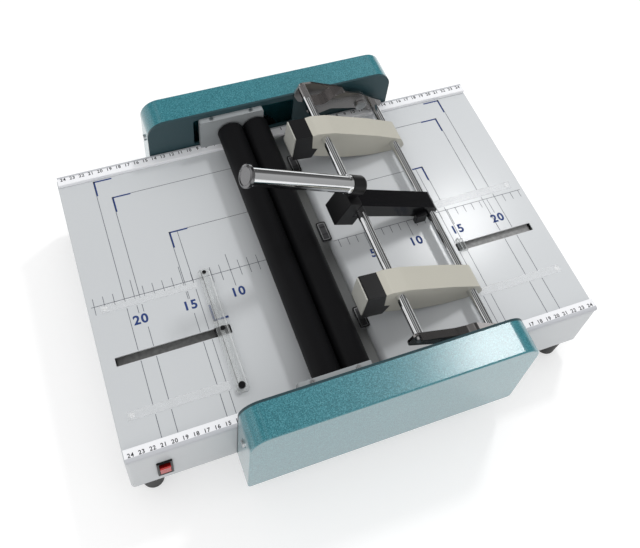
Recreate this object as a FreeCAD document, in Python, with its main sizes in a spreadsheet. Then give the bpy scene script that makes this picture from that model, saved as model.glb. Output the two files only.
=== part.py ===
"""Desktop booklet maker: staple two sheets of paper along a line, then fold them between two rollers.

Millimetres.  X runs along the long table, +Y to the rear cover, +Z up.
The origin is on the ground under the middle of the machine, and the zero of both rulers is above it.
"""
import FreeCAD
import Part
import Sketcher
import math
import os
from FreeCAD import Placement, Rotation, Vector

doc = FreeCAD.newDocument("booklet_maker")
sheet = doc.addObject("Spreadsheet::Sheet", "dims")
parts = []


# ---------------------------------------------------------------- sizes
class Size:
    """A size with its number and the expression that ties it to the sheet."""

    def __init__(self, number, text):
        self.number = number
        self.text = text

    def __add__(self, other):
        other = as_size(other)
        return Size(self.number + other.number, "(" + self.text + " + " + other.text + ")")

    def __sub__(self, other):
        other = as_size(other)
        return Size(self.number - other.number, "(" + self.text + " - " + other.text + ")")

    def __mul__(self, other):
        other = as_size(other)
        return Size(self.number * other.number, "(" + self.text + " * " + other.text + ")")

    def __truediv__(self, other):
        other = as_size(other)
        return Size(self.number / other.number, "(" + self.text + " / " + other.text + ")")

    def __neg__(self):
        return Size(-self.number, "(0 - " + self.text + ")")

    def __radd__(self, other):
        return as_size(other) + self

    def __rsub__(self, other):
        return as_size(other) - self

    def __rmul__(self, other):
        return as_size(other) * self


def as_size(value):
    return value if isinstance(value, Size) else Size(float(value), "(%.9g)" % value)


def cosine(angle):
    return Size(math.cos(math.radians(angle.number)), "cos(" + angle.text + ")")


def sine(angle):
    return Size(math.sin(math.radians(angle.number)), "sin(" + angle.text + ")")


def square_root(size):
    return Size(math.sqrt(size.number), "sqrt(" + size.text + ")")


# Every size that can be set by itself, in millimetres, or in degrees for a tilt.
# base and table
table_length = 494  # table, end to end
table_depth = 326  # table, front wall to rear wall
base_height = 68  # sheet-metal base without its feet
foot_height = 30  # rubber foot
base_sheet = 1.5  # sheet thickness of base and bottom plate
base_corner = 4  # bend radius of the base's upright corners
base_edge = 1.4  # bend radius round the table top
foot_top_radius = 12.5  # foot, where it meets the base
foot_bottom_radius = 11  # foot, on the ground
foot_bevel = 1.6  # bevel of the foot's lower rim
foot_inset = 13  # foot's axis from the front and rear walls
foot_end_inset = 22  # foot's axis from the table's ends
foot_screw_radius = 3.5  # screw hole in the foot
foot_screw_depth = 9  # depth of the screw hole
strip_width = 12.5  # ruler strip, front to back
strip_height = 4.4  # ruler strip above the table
strip_round = 2.5  # rounded outer edge of the ruler strip
strip_end_gap = 1  # ruler strip short of the table's end
glide_inner = 137  # inner end of the raised glide ribs
glide_end = 12  # raised glide ribs short of the table's end
glide_width = 9  # glide rib width
glide_height = 1.1  # glide rib height
glide_round = 0.5  # bevelled top edge of a glide rib
glide_rear_place = 7.7  # right rear rib's middle line
glide_front_place = -106.3  # right front rib's middle line
glide_left_step = 14.4  # left ribs in front of the right ones

# end housings over the front and rear walls
cover_left = 143  # housing, from the middle to its left end
cover_right = 145  # housing, from the middle to its right end
cover_depth = 33.1  # housing, front to back
cover_rise = 53.7  # housing above the table
cover_drop = 68  # housing below the table
cover_sheet = 2  # housing sheet thickness
cover_shoulder = 20  # large radius of the housing's upper corners
cover_toe = 4  # small radius of the housing's lower corners
cover_edge = 1.6  # rounding round the housing's outer face
side_plate = 2.5  # side plate thickness
window_left = 92  # side plate window, from the middle to the left
window_right = 25  # side plate window, from the middle to the right
window_sill = 6  # side plate window's lower edge above the table
window_head = 46  # side plate window's upper edge above the table
window_corner = 3  # corner radius of the window
cover_screw_rise = 14  # housing screws, from the table's level
cover_screw_head = 3.6  # housing screw head radius
cover_screw_shank = 1.9  # housing screw shank radius
screw_head_height = 2  # screw head height
screw_slot_length = 10  # slotted hole in the housing's end

# rollers and their brackets
nip_place = -38  # folding nip, from the middle
roller_pitch = 29  # distance between the roller axes
roller_radius = 14.3  # rubber roller radius
roller_rise = 26  # roller axes above the table
roller_inset = 9  # rubber's ends inside the front and rear walls
roller_shaft = 5  # roller shaft radius
running_gap = 0.05  # radial clearance of a running fit
bush_radius = 7  # roller bush outer radius
bush_flange = 8.6  # roller bush flange radius
bush_flange_thick = 1.2  # roller bush flange thickness
bush_length = 7  # roller bush length behind its flange
bracket_reach = 6.5  # bearing bracket in front of the side plate
bracket_sheet = 2.5  # bearing bracket sheet thickness
bracket_left = 86  # bearing bracket, from the middle to the left
bracket_right = 13  # bearing bracket's right end, left of the middle
bracket_rise = 47  # bearing bracket's top above the table
bracket_screw_inset = 14  # bracket screws from its ends
bracket_screw_head = 2.2  # bracket screw head radius
shaft_tail = 12  # roller shaft past the side plate, at the front
shaft_nose = 20  # roller shaft past the side plate, at the gears

# gear train
gear_module = 1.45  # gear module
gear_face = 8  # gear face width
gear_offset = 6  # gears behind the side plate
gear_hub = 8.5  # roller gear hub radius
tooth_share = 0.42  # tooth width at the pitch circle, in pitches
tooth_tip_share = 0.2  # tooth width at its tip, in pitches
tooth_root_share = 0.56  # tooth width at its root, in pitches
tooth_above = 0.8  # tooth height outside the pitch circle, in modules
tooth_below = 1.15  # tooth depth inside the pitch circle, in modules
drive_bore = 4  # drive shaft radius
drive_web = 2.4  # thin web of the drive gear
drive_rim = 5  # rim of the drive gear inside its teeth
drive_hub = 9  # hub radius of the drive gear
motor_radius = 12  # gear motor can radius
motor_length = 52  # gear motor can length
gearbox_radius = 13.5  # gearbox radius
gearbox_length = 30  # gearbox length
motor_shift = 6  # gear motor's axis right of the right roller's axis
drive_seat = 12  # drive shaft inside the gearbox
drive_nose = 17  # drive shaft past the side plate

# fold knife and its lift
fold_slot = 14  # width of the fold slot in the table
fold_slot_inset = 15  # fold slot's ends inside the front and rear walls
knife_thick = 1.2  # fold knife thickness
knife_end_gap = 4  # fold knife short of the slot's ends
knife_height = 26  # fold knife height above its carrier
knife_sunk = 2  # fold knife's edge below the table at rest
knife_bevel = 0.4  # bevel along the fold knife's edge
knife_lift = 19  # travel of the fold knife
carrier_width = 10  # knife carrier width
carrier_height = 10  # knife carrier height
carrier_end = 6  # carrier beyond the axis of its guide post
post_radius = 4  # guide post radius
post_inset = 10  # guide posts inside the front and rear walls
lift_arm = 42  # lift arm, shaft to roller
lift_angle = 13  # lift arm below level at rest
lift_shaft_radius = 4  # lift shaft radius
lift_arm_inset = 25  # lift arms inside the lift shaft's brackets
lift_arm_thick = 5  # lift arm thickness
lift_tip_radius = 4  # rounded tip of the lift arm
lift_hub_radius = 7.5  # lift arm hub radius
lift_gap = 1.8  # gap between the lift arm and the carrier
lift_bracket_inset = 28  # lift shaft brackets inside the front and rear walls
lift_bracket_thick = 4  # lift shaft bracket thickness
lift_bracket_width = 22  # lift shaft bracket width
lift_bracket_round = 9  # rounded head of the lift shaft bracket
lift_shaft_end = 4  # lift shaft beyond its brackets

# anvil
throat_left = -3  # left edge of the anvil opening in the table
throat_right = 20  # right edge of the anvil opening in the table
throat_inset = 11  # anvil opening's ends inside the front and rear walls
lip_width = 10.4  # rolled lip of the table beside the anvil
lip_round = 8  # outer bend radius of the rolled lip
lip_drop = 9  # rolled lip, top to bottom
rail_left = -2  # anvil rail's left side
rail_right = 8  # anvil rail's right side
rail_end_gap = 2  # anvil rail short of the opening's ends
rail_rise = 0.5  # anvil rail above the table
rail_height = 12  # anvil rail height
beam_wall = 2  # wall of the beam under the anvil rail
beam_height = 20  # height of the beam under the anvil rail
beam_left = 2.7  # beam's left side, left of the middle
beam_right = 24  # beam's right side
insert_place = 8.3  # middle of the anvil inserts, from the middle
insert_width = 10.6  # anvil insert width
insert_length = 24  # anvil insert length
insert_height = 1.5  # anvil insert height
insert_groove = 3  # width of the staple forming grooves
insert_groove_depth = 0.8  # depth of the forming grooves
insert_groove_place = 4.6  # forming grooves from the insert's middle
insert_middle = 12  # middle insert from the table's middle

# swing frame: sizes along and above the line from rod B (0) to rod A
rod_b_place = 123  # rod B from the middle
rod_b_rise = 15  # rod B above the table
pivot_reach = 20  # pivot pin from rod B, towards rod A
rod_spacing = 94.5  # rod A from rod B
rest_tilt = 24  # swing frame's tilt at rest
rod_radius = 5  # both rods
rod_front_stub = 1.5  # rods beyond the front swing arm
rod_rear_gap = 1  # rods short of the rear side plate
pivot_radius = 4  # pivot pin radius
pivot_head = 6.5  # pivot pin head radius
pivot_head_thick = 3  # pivot pin head thickness
pivot_collar = 9  # pivot pin collar radius against the side plate
pivot_collar_thick = 2  # pivot pin collar thickness
pivot_tail = 6  # pivot pin behind the side plate
pivot_side_gap = 0.4  # gap between the pivot pin's head and the swing arm
arm_inset = 11  # inner face of the swing arms inside the front and rear walls
arm_sheet = 2.5  # swing arm sheet thickness
arm_step = 5.5  # depth of a swing arm's ledge behind its inner plate
arm_crest = 17  # swing arm's crest above the rods
arm_crest_place = 36  # swing arm's crest from rod B
arm_bend = 26.5  # middle of the rear arm's S-bend from rod A
arm_toe_drop = 22  # rear arm's lowest side below the rods
arm_top = 16.5  # rear arm's outer plate above rod A
arm_end = 13  # rear arm beyond rod A
arm_brow = 7.8  # front arm's top above rod A
arm_hub = 11  # swing arm round rod A
arm_heel = 9  # swing arm round rod B
spring_inner = 6  # return spring inner radius
spring_wire = 0.75  # half of the return spring's square wire
spring_turns = 2.5  # return spring turns
spring_lead = 1.75  # return spring pitch

# press arm and handle
press_front = -7  # press arm's front side
press_depth = 22  # press arm, front to back
press_beyond = 6  # press arm's left end beyond rod A
press_top_left = 10.5  # press arm's top at the left end
press_top_right = 8  # press arm's top over rod B
press_bottom = 7  # press arm's bottom below the rods
press_end = 8  # round right end of the press arm
press_edge = 1.2  # rounding along the press arm's edges
block_beyond = 20.5  # handle block's left side beyond rod A
block_foot = 23.5  # handle block's foot, left to right
block_bottom = 22  # handle block's bottom below the rods
block_top = 13  # handle block's top above the rods
block_depth = 27  # handle block, front to back
block_edge = 1  # rounding along the handle block's edges
clamp_left = 13  # rod clamp under the press arm, left of rod B
clamp_right = 5  # rod clamp under the press arm, right of rod B
clamp_drop = 11.5  # rod clamp below rod B's axis
clamp_depth = 12  # rod clamp, front to back
handle_tilt = 4  # handle above the swing frame's line
handle_beyond = 25.5  # handle's right end beyond rod A
handle_rise = 27  # handle's right end above the rods
handle_length = 118  # handle tube length
handle_radius = 8.8  # handle tube radius
handle_wall = 1.2  # handle tube wall
handle_place = 7  # handle's axis from the middle, to the rear
handle_lip_radius = 10  # lipped right end of the handle
handle_lip = 3  # length of the lipped right end
knob_radius = 11.2  # knob at the handle's left end
knob_length = 5  # knob length
knob_dish = 0.8  # depth of the dished face of the knob
collar_radius = 10.2  # black handle socket radius
collar_length = 17  # black handle socket length
collar_round = 2.5  # rounded end of the handle socket
stem_width = 10  # stem under the handle socket

# staplers: profile along and above the rods' line, measured from rod B
stapler_width = 26.5  # stapler head width
stapler_wall = 1.8  # stapler body wall
rear_stapler_place = 106.7  # rear stapler from the middle
front_stapler_place = 94  # front stapler from the middle
nose_seat_beyond = 18  # top of the joint between nose and body, beyond rod A
nose_front_beyond = 36  # nose's front top edge beyond rod A
nose_toe_beyond = 23.5  # nose's front bottom edge beyond rod A
nose_heel_beyond = 1.5  # nose's rear bottom edge beyond rod A
nose_front_drop = 4  # nose's front top edge below the rods
nose_seat_rise = 2  # nose's rear top edge above the rods
nose_toe_drop = 38  # nose's front bottom edge below the rods
nose_heel_drop = 32  # nose's rear bottom edge below the rods
nose_hook = 5  # hooked step behind the nose
nose_plate = 1.6  # pale end plate thickness
plate_inset = 0.8  # pale end plate inside the nose's sides
plate_start = 0.03  # top of the end plate, as a share of the nose's front
plate_end = 0.86  # bottom of the end plate, as a share of the nose's front
body_crown = 9.2  # stapler body's crown above the rods
body_tail = 18  # stapler body past rod B
body_belly = 28.6  # stapler body's deepest side below the rods
belly_tail = 7.3  # stapler body's underside at its tail, below the rods
belly_heel = 14.8  # stapler body's underside beside rod B, below the rods
belly_middle = 22.6  # stapler body's underside half way down its slope, below the rods
belly_middle_place = 20  # that middle from rod B
belly_deep_place = 54  # start of the deepest side, from rod B
magazine_width = 13  # staple magazine width
magazine_top = 8  # staple magazine's top below the rods
magazine_bottom = 20  # staple magazine's bottom below the rods
magazine_right = 14  # staple magazine's right end from rod B
magazine_wall = 1  # staple magazine sheet

# stops
left_slot_inner = -118.7  # left slot's inner end
left_slot_end = 14  # left slot from the table's left end
left_slot_place = -65  # left slot's middle line
right_slot_inner = 139  # right slot's inner end
right_slot_end = 15.8  # right slot from the table's right end
right_slot_place = -49.6  # right slot's middle line
slot_width = 9.4  # both slots
slot_corner = 0.8  # corner radius of the slots
slot_gap = 0.3  # slider's gap in its slot
stop_place = -127.3  # left stop bar's middle line
stop_width = 12.6  # left stop bar's width
stop_front = -133  # left stop bar's front end
stop_rear = 4.5  # left stop bar's rear end
stop_thick = 4  # left stop bar's thickness
stop_lift = 1.7  # left stop bar above the table
stop_chamfer = 3  # corner radius of the left stop bar
stop_bevel = 0.6  # bevel round the left stop bar's top
slider_length = 15  # left slider, left to right
slider_foot = 3  # slider flange under the table
slider_lip = 3  # slider flange beyond the slot
knob_screw_radius = 3.4  # stop screw's head radius
knob_screw_height = 2.6  # stop screw's head height
knob_screw_place = -127  # front stop screw, from the middle
fence_thick = 2.4  # right stop fence thickness
fence_depth = 15  # right stop fence, front to back
fence_height = 6  # right stop fence height
fence_length = 8  # right stop fence and slider, left to right
fence_place = 144  # right stop slider's middle, from the table's middle

# switch and inlet
switch_end = 34  # rocker switch's middle from the table's left end
switch_drop = 38  # rocker switch's middle below the table
switch_width = 15  # rocker switch frame width
switch_height = 32  # rocker switch frame height
switch_rim = 2  # rim of the rocker switch frame
switch_proud = 2  # rocker switch frame in front of the wall
switch_depth = 18  # rocker switch behind the wall
switch_body_inset = 1  # switch body inside its frame's outline
rocker_gap = 0.35  # gap round the rocker
rocker_tilt = 9  # rocker's tilt either way
rocker_reach = 3.2  # rocker in front of its pivot
rocker_depth = 3  # rocker behind its pivot
inlet_end = 51  # mains inlet's middle from the table's right end
inlet_drop = 34  # mains inlet's middle below the table
inlet_width = 30.5  # mains inlet flange width
inlet_height = 24  # mains inlet flange height
inlet_hole_width = 26.5  # inlet body width
inlet_hole_height = 19.5  # inlet body height
inlet_flange = 2  # inlet flange thickness
inlet_depth = 20  # inlet body behind the wall
inlet_well_width = 22  # inlet socket width
inlet_well_height = 15  # inlet socket height
inlet_well_depth = 15  # inlet socket depth
inlet_pin_width = 2  # inlet pin width
inlet_pin_height = 4  # inlet pin height
inlet_pin_length = 11  # inlet pin length
inlet_pin_pitch = 7  # inlet pins from the middle one
inlet_pin_step = 2.2  # outer pins below the middle one
vent_width = 3  # vent slot width
vent_length = 40  # vent slot length
vent_pitch = 9  # distance between vent slots
vent_place = 110  # first vent slot from the middle

# Each number above fills one row of the sheet, and from here on its name stands for that cell.
numbers = [(name, value) for name, value in vars().items() if type(value) in (int, float)]
for row, (name, value) in enumerate(numbers, start=1):
    sheet.set("A%d" % row, name)
    sheet.set("B%d" % row, "%.9g" % value)
    sheet.setAlias("B%d" % row, name)
    vars()[name] = Size(float(value), "dims." + name)
doc.recompute()

# counts
roller_teeth = 20
drive_teeth = 40
vent_count = 9

# places worked out from the driving dimensions
table_top = foot_height + base_height
half_length = table_length / 2
half_depth = table_depth / 2
roller_length = table_depth - 2 * roller_inset
fold_slot_length = table_depth - 2 * fold_slot_inset
knife_length = fold_slot_length - 2 * knife_end_gap
post_place = half_depth - post_inset
lift_bracket_place = half_depth - lift_bracket_inset
lift_arm_place = lift_bracket_place - lift_arm_inset
throat_length = table_depth - 2 * throat_inset
rail_length = throat_length - 2 * rail_end_gap
arm_place = half_depth - arm_inset
glide_outer = half_length - glide_end
left_slot_outer = left_slot_end - half_length
right_slot_outer = half_length - right_slot_end
switch_place = switch_end - half_length
inlet_place = half_length - inlet_end
plate_outer = half_depth + side_plate
cover_outer = plate_outer + cover_depth
roller_z = table_top + roller_rise
left_roller_x = nip_place - roller_pitch / 2
right_roller_x = nip_place + roller_pitch / 2
gear_near = plate_outer + gear_offset
gear_far = gear_near + gear_face
drive_distance = gear_module * (roller_teeth + drive_teeth) / 2
motor_x = right_roller_x + motor_shift
motor_z = roller_z - square_root(drive_distance * drive_distance - motor_shift * motor_shift)
rod_b_z = table_top + rod_b_rise
pivot_x = rod_b_place - pivot_reach * cosine(rest_tilt)
pivot_z = rod_b_z + pivot_reach * sine(rest_tilt)
press_left = rod_spacing + press_beyond
block_left = rod_spacing + block_beyond
block_foot_right = block_left - block_foot
handle_start = rod_spacing + handle_beyond
nose_seat = rod_spacing + nose_seat_beyond
nose_front = rod_spacing + nose_front_beyond
nose_toe = rod_spacing + nose_toe_beyond
nose_heel = rod_spacing + nose_heel_beyond


# ---------------------------------------------------------------- drawing helpers
PLANE = {"x": ("YZ_Plane", 1), "y": ("XZ_Plane", -1), "z": ("XY_Plane", 1)}


def bind(thing, prop, size):
    """Tie one property of an object to the sheet."""
    thing.setExpression(prop, as_size(size).text)


def new_body(label):
    body = doc.addObject("PartDesign::Body", label)
    body.Label = label
    return body


def sketch_at(body, axis, level):
    """An empty sketch across one axis of its body, at a level along that axis."""
    role, sign = PLANE[axis]
    plane = [feature for feature in body.Origin.OriginFeatures if feature.Role == role][0]
    sketch = body.newObject("Sketcher::SketchObject", body.Label + "_sketch")
    sketch.AttachmentSupport = [(plane, "")]
    sketch.MapMode = "FlatFace"
    bind(sketch, "AttachmentOffset.Base.z", as_size(level) * sign)
    return sketch


def tie(sketch, kind, places, size, name):
    """Add a dimension to a sketch and tie it to the sheet."""
    size = as_size(size)
    index = sketch.addConstraint(Sketcher.Constraint(kind, *places, size.number))
    sketch.renameConstraint(index, name)
    bind(sketch, "Constraints." + name, size)


def tie_point(sketch, geometry, position, across, up, name):
    tie(sketch, "DistanceX", (-1, 1, geometry, position), across, name + "_across")
    tie(sketch, "DistanceY", (-1, 1, geometry, position), up, name + "_up")


def unit(start, end):
    step = end - start
    return step / step.Length


def draw_outline(sketch, corners):
    """A closed outline of straight sides, where a corner with a third value is rounded."""
    count = len(corners)
    points = [Vector(as_size(c[0]).number, as_size(c[1]).number, 0) for c in corners]
    trims = []
    for i, corner in enumerate(corners):
        if len(corner) < 3:
            trims.append(None)
            continue
        before = unit(points[i], points[i - 1])
        after = unit(points[i], points[(i + 1) % count])
        half = before.getAngle(after) / 2
        reach = as_size(corner[2]).number / math.tan(half)
        middle = (before + after)
        centre = points[i] + middle / middle.Length * (as_size(corner[2]).number / math.sin(half))
        trims.append((points[i] + before * reach, points[i] + after * reach, centre, before.cross(after).z > 0))
    serial = sketch.GeometryCount
    lines = []
    for i in range(count):
        start = trims[i][1] if trims[i] else points[i]
        following = (i + 1) % count
        end = trims[following][0] if trims[following] else points[following]
        lines.append(sketch.addGeometry(Part.LineSegment(start, end), False))
    for i, corner in enumerate(corners):
        arriving = lines[i - 1]
        leaving = lines[i]
        name = "corner_%d" % (serial + i)
        if trims[i] is None:
            sketch.addConstraint(Sketcher.Constraint("Coincident", arriving, 2, leaving, 1))
            tie_point(sketch, leaving, 1, corner[0], corner[1], name)
            continue
        first, second, centre, clockwise = trims[i]
        radius = as_size(corner[2]).number
        circle = Part.Circle(centre, Vector(0, 0, 1), radius)
        spokes = [first - centre, second - centre]
        if clockwise:
            spokes.reverse()
        angles = [math.atan2(spoke.y, spoke.x) for spoke in spokes]
        arc = sketch.addGeometry(Part.ArcOfCircle(circle, angles[0], angles[1]), False)
        arc_first, arc_second = (2, 1) if clockwise else (1, 2)
        sketch.addConstraint(Sketcher.Constraint("Tangent", arriving, 2, arc, arc_first))
        sketch.addConstraint(Sketcher.Constraint("Tangent", arc, arc_second, leaving, 1))
        tie(sketch, "Radius", (arc,), corner[2], name + "_radius")
        point = sketch.addGeometry(Part.Point(points[i]), True)
        sketch.addConstraint(Sketcher.Constraint("PointOnObject", point, 1, arriving))
        sketch.addConstraint(Sketcher.Constraint("PointOnObject", point, 1, leaving))
        tie_point(sketch, point, 1, corner[0], corner[1], name)


def draw_circle(sketch, across, up, radius):
    centre = Vector(as_size(across).number, as_size(up).number, 0)
    circle = sketch.addGeometry(Part.Circle(centre, Vector(0, 0, 1), as_size(radius).number), False)
    name = "circle_%d" % circle
    tie_point(sketch, circle, 3, across, up, name)
    tie(sketch, "Radius", (circle,), radius, name + "_radius")


def draw(sketch, shapes):
    """Outlines are lists of corners; circles are tuples of across, up and radius."""
    for shape in shapes:
        if isinstance(shape, tuple):
            draw_circle(sketch, *shape)
        else:
            draw_outline(sketch, shape)


def pad(body, axis, low, high, *shapes):
    """Material between two levels of one axis."""
    start = high if axis == "y" else low
    sketch = sketch_at(body, axis, start)
    draw(sketch, shapes)
    feature = body.newObject("PartDesign::Pad", body.Label + "_pad")
    feature.Profile = sketch
    bind(feature, "Length", as_size(high) - low)
    return feature


def pocket(body, axis, low, high, *shapes):
    """A cut between two levels of one axis, which has to remove something."""
    doc.recompute()
    volume = body.Shape.Volume
    start = low if axis == "y" else high
    sketch = sketch_at(body, axis, start)
    draw(sketch, shapes)
    feature = body.newObject("PartDesign::Pocket", body.Label + "_pocket")
    feature.Profile = sketch
    bind(feature, "Length", as_size(high) - low)
    doc.recompute()
    if body.Shape.Volume >= volume - 1e-6:
        raise ValueError(body.Label + ": a pocket removed nothing")
    return feature


def round_edges(body, radius, chosen):
    """Fillet the edges of the body that the test chooses."""
    doc.recompute()
    base = body.Tip
    names = ["Edge%d" % (i + 1) for i, edge in enumerate(base.Shape.Edges) if chosen(edge)]
    fillet = body.newObject("PartDesign::Fillet", body.Label + "_fillet")
    fillet.Base = (base, names)
    bind(fillet, "Radius", radius)
    return fillet


def bevel_edges(body, size, chosen):
    """Chamfer the edges of the body that the test chooses."""
    doc.recompute()
    base = body.Tip
    names = ["Edge%d" % (i + 1) for i, edge in enumerate(base.Shape.Edges) if chosen(edge)]
    chamfer = body.newObject("PartDesign::Chamfer", body.Label + "_chamfer")
    chamfer.Base = (base, names)
    bind(chamfer, "Size", size)
    return chamfer


def at_level(edge, axis, size, span=1e-4):
    """True when a whole edge lies at one level of an axis."""
    low = getattr(edge.BoundBox, axis.upper() + "Min")
    high = getattr(edge.BoundBox, axis.upper() + "Max")
    return abs(low - as_size(size).number) < span and abs(high - as_size(size).number) < span


def rectangle(left, bottom, right, top, radius=None):
    corners = [(left, bottom), (right, bottom), (right, top), (left, top)]
    return corners if radius is None else [corner + (radius,) for corner in corners]


def box(label, x_low, x_high, y_low, y_high, z_low, z_high):
    block = doc.addObject("Part::Box", label)
    block.Label = label
    bind(block, "Length", as_size(x_high) - x_low)
    bind(block, "Width", as_size(y_high) - y_low)
    bind(block, "Height", as_size(z_high) - z_low)
    bind(block, "Placement.Base.x", x_low)
    bind(block, "Placement.Base.y", y_low)
    bind(block, "Placement.Base.z", z_low)
    return block


TURN = {"x": Rotation(Vector(0, 1, 0), 90), "y": Rotation(Vector(1, 0, 0), -90), "z": Rotation()}


def place_round(item, axis, x, y, z):
    item.Placement = Placement(Vector(), TURN[axis])
    bind(item, "Placement.Base.x", x)
    bind(item, "Placement.Base.y", y)
    bind(item, "Placement.Base.z", z)


def cylinder(label, axis, radius, low, high, across, up):
    """A round bar along one axis; across and up are its place in the other two, in X, Y, Z order."""
    bar = doc.addObject("Part::Cylinder", label)
    bar.Label = label
    bind(bar, "Radius", radius)
    bind(bar, "Height", as_size(high) - low)
    base = {"x": (low, across, up), "y": (across, low, up), "z": (across, up, low)}[axis]
    place_round(bar, axis, *base)
    return bar


def cut(label, base, *tools):
    """A boolean cut; several tools are joined first."""
    tool = tools[0] if len(tools) == 1 else join(label + "_tools", *tools)
    result = doc.addObject("Part::Cut", label)
    result.Label = label
    result.Base = base
    result.Tool = tool
    return result


def join(label, *items):
    result = doc.addObject("Part::MultiFuse", label)
    result.Label = label
    result.Shapes = list(items)
    return result


def group(label, items):
    """Separate solids that share one node."""
    result = doc.addObject("Part::Compound", label)
    result.Label = label
    result.Links = list(items)
    return result


def keep(*items):
    parts.extend(items)


def place_on_swing_frame(item):
    """Put a piece drawn along the rods' line onto the tilted swing frame, hinged on rod B."""
    item.Placement = Placement(Vector(), Rotation(Vector(0, 1, 0), rest_tilt.number))
    bind(item, "Placement.Base.x", rod_b_place)
    bind(item, "Placement.Base.z", rod_b_z)
    bind(item, "Placement.Rotation.Angle", rest_tilt)


def on_swing_frame(*items):
    """Place pieces on the swing frame and keep them as nodes."""
    for item in items:
        place_on_swing_frame(item)
        keep(item)


# ---------------------------------------------------------------- base
def base_shell():
    """Folded sheet-metal box, open below, with the table as its top."""
    body = new_body("base_shell")
    inner_corner = base_corner - base_sheet
    inner_x = half_length - base_sheet
    inner_y = half_depth - base_sheet
    pad(body, "z", foot_height, table_top,
        rectangle(-half_length, -half_depth, half_length, half_depth, base_corner))
    pocket(body, "z", foot_height, table_top - base_sheet,
           rectangle(-inner_x, -inner_y, inner_x, inner_y, inner_corner))
    round_edges(body, base_edge, lambda edge: at_level(edge, "z", table_top))
    half_slot = slot_width / 2
    throat_half = throat_length / 2
    pocket(body, "z", table_top - base_sheet, table_top,
           rectangle(nip_place - fold_slot / 2, -(fold_slot_length / 2),
                     nip_place + fold_slot / 2, fold_slot_length / 2, slot_corner),
           rectangle(throat_left, -throat_half, throat_right, throat_half),
           rectangle(left_slot_outer, left_slot_place - half_slot,
                     left_slot_inner, left_slot_place + half_slot, slot_corner),
           rectangle(right_slot_inner, right_slot_place - half_slot,
                     right_slot_outer, right_slot_place + half_slot, slot_corner))
    lip_left = throat_right - lip_width
    under = table_top - base_sheet
    pad(body, "y", -throat_half, throat_half,
        [(throat_right, under), (throat_right, table_top), (lip_left, table_top, lip_round),
         (lip_left, table_top - lip_drop - base_sheet), (lip_left + base_sheet, table_top - lip_drop - base_sheet),
         (lip_left + base_sheet, under, lip_round - base_sheet)])
    switch_z = table_top - switch_drop
    half_width = switch_width / 2 - switch_body_inset
    half_height = switch_height / 2 - switch_body_inset
    pocket(body, "y", -half_depth, -inner_y,
           rectangle(switch_place - half_width, switch_z - half_height,
                     switch_place + half_width, switch_z + half_height))
    inlet_z = table_top - inlet_drop
    pocket(body, "y", inner_y, half_depth,
           rectangle(inlet_place - inlet_hole_width / 2, inlet_z - inlet_hole_height / 2,
                     inlet_place + inlet_hole_width / 2, inlet_z + inlet_hole_height / 2),
           (motor_x, motor_z, drive_hub))
    keep(body)


def bottom_plate():
    """Flat plate that closes the base, with a row of vent slots at each end."""
    body = new_body("bottom_plate")
    inner_x = half_length - base_sheet
    inner_y = half_depth - base_sheet
    top = foot_height + base_sheet
    pad(body, "z", foot_height, top, rectangle(-inner_x, -inner_y, inner_x, inner_y, base_corner - base_sheet))
    for side in (-1, 1):
        vent = vent_place * side
        first = pocket(body, "z", foot_height, top,
                       rectangle(vent - vent_width / 2, -(vent_length / 2),
                                 vent + vent_width / 2, vent_length / 2))
        row_of_vents = body.newObject("PartDesign::LinearPattern", "vents")
        row_of_vents.Originals = [first]
        row_of_vents.Direction = (first.Profile[0], ["H_Axis"])
        row_of_vents.Reversed = side < 0
        bind(row_of_vents, "Length", vent_pitch * (vent_count - 1))
        row_of_vents.Occurrences = vent_count
        body.Tip = row_of_vents
    keep(body)


def rubber_feet():
    """Four tapered feet, each with a screw hole from below."""
    feet = []
    for end in (-1, 1):
        for side in (-1, 1):
            x = (half_length - foot_end_inset) * end
            y = (half_depth - foot_inset) * side
            cone = doc.addObject("Part::Cone", "foot_cone")
            bind(cone, "Radius1", foot_bottom_radius)
            bind(cone, "Radius2", foot_top_radius)
            bind(cone, "Height", foot_height)
            place_round(cone, "z", x, y, 0)
            doc.recompute()
            rim = [i + 1 for i, edge in enumerate(cone.Shape.Edges) if at_level(edge, "z", 0)]
            bevelled = doc.addObject("Part::Chamfer", "foot_bevel")
            bevelled.Base = cone
            bevelled.Edges = [(i, foot_bevel.number, foot_bevel.number) for i in rim]
            hole = cylinder("foot_hole", "z", foot_screw_radius, 0, foot_screw_depth, x, y)
            feet.append(cut("foot", bevelled, hole))
    keep(group("rubber_feet", feet))


def ruler_strip(label, side):
    """Raised strip along one edge of the table, rounded on its outer edge."""
    body = new_body(label)
    outer = half_depth * side
    inner = (half_depth - strip_width) * side
    end = half_length - strip_end_gap
    top = table_top + strip_height
    pad(body, "x", -end, end,
        [(inner, table_top), (outer, table_top), (outer, top, strip_round), (inner, top, strip_round / 3)])
    keep(body)


def glide_ribs():
    """Four low ribs with round ends that the paper glides on."""
    ribs = []
    for number, (side, place) in enumerate([(-1, glide_rear_place - glide_left_step),
                                            (-1, glide_front_place - glide_left_step),
                                            (1, glide_rear_place), (1, glide_front_place)]):
        left = glide_inner if side > 0 else -glide_outer
        right = glide_outer if side > 0 else -glide_inner
        rib = new_body("glide_rib_%d" % number)
        pad(rib, "z", table_top, table_top + glide_height,
            rectangle(left, place - glide_width / 2, right, place + glide_width / 2, glide_width / 2.2))
        bevel_edges(rib, glide_round, lambda edge: at_level(edge, "z", table_top + glide_height))
        ribs.append(rib)
    keep(group("glide_ribs", ribs))


# ---------------------------------------------------------------- housings
def housing_outline(inset):
    """Outline of a housing seen from the front, moved inwards by a wall."""
    left = -cover_left + inset
    right = cover_right - inset
    bottom = table_top - cover_drop + inset
    top = table_top + cover_rise - inset
    shoulder = cover_shoulder - inset
    toe = cover_toe - inset
    return [(left, bottom, toe), (right, bottom, toe), (right, top, shoulder), (left, top, shoulder)]


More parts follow.
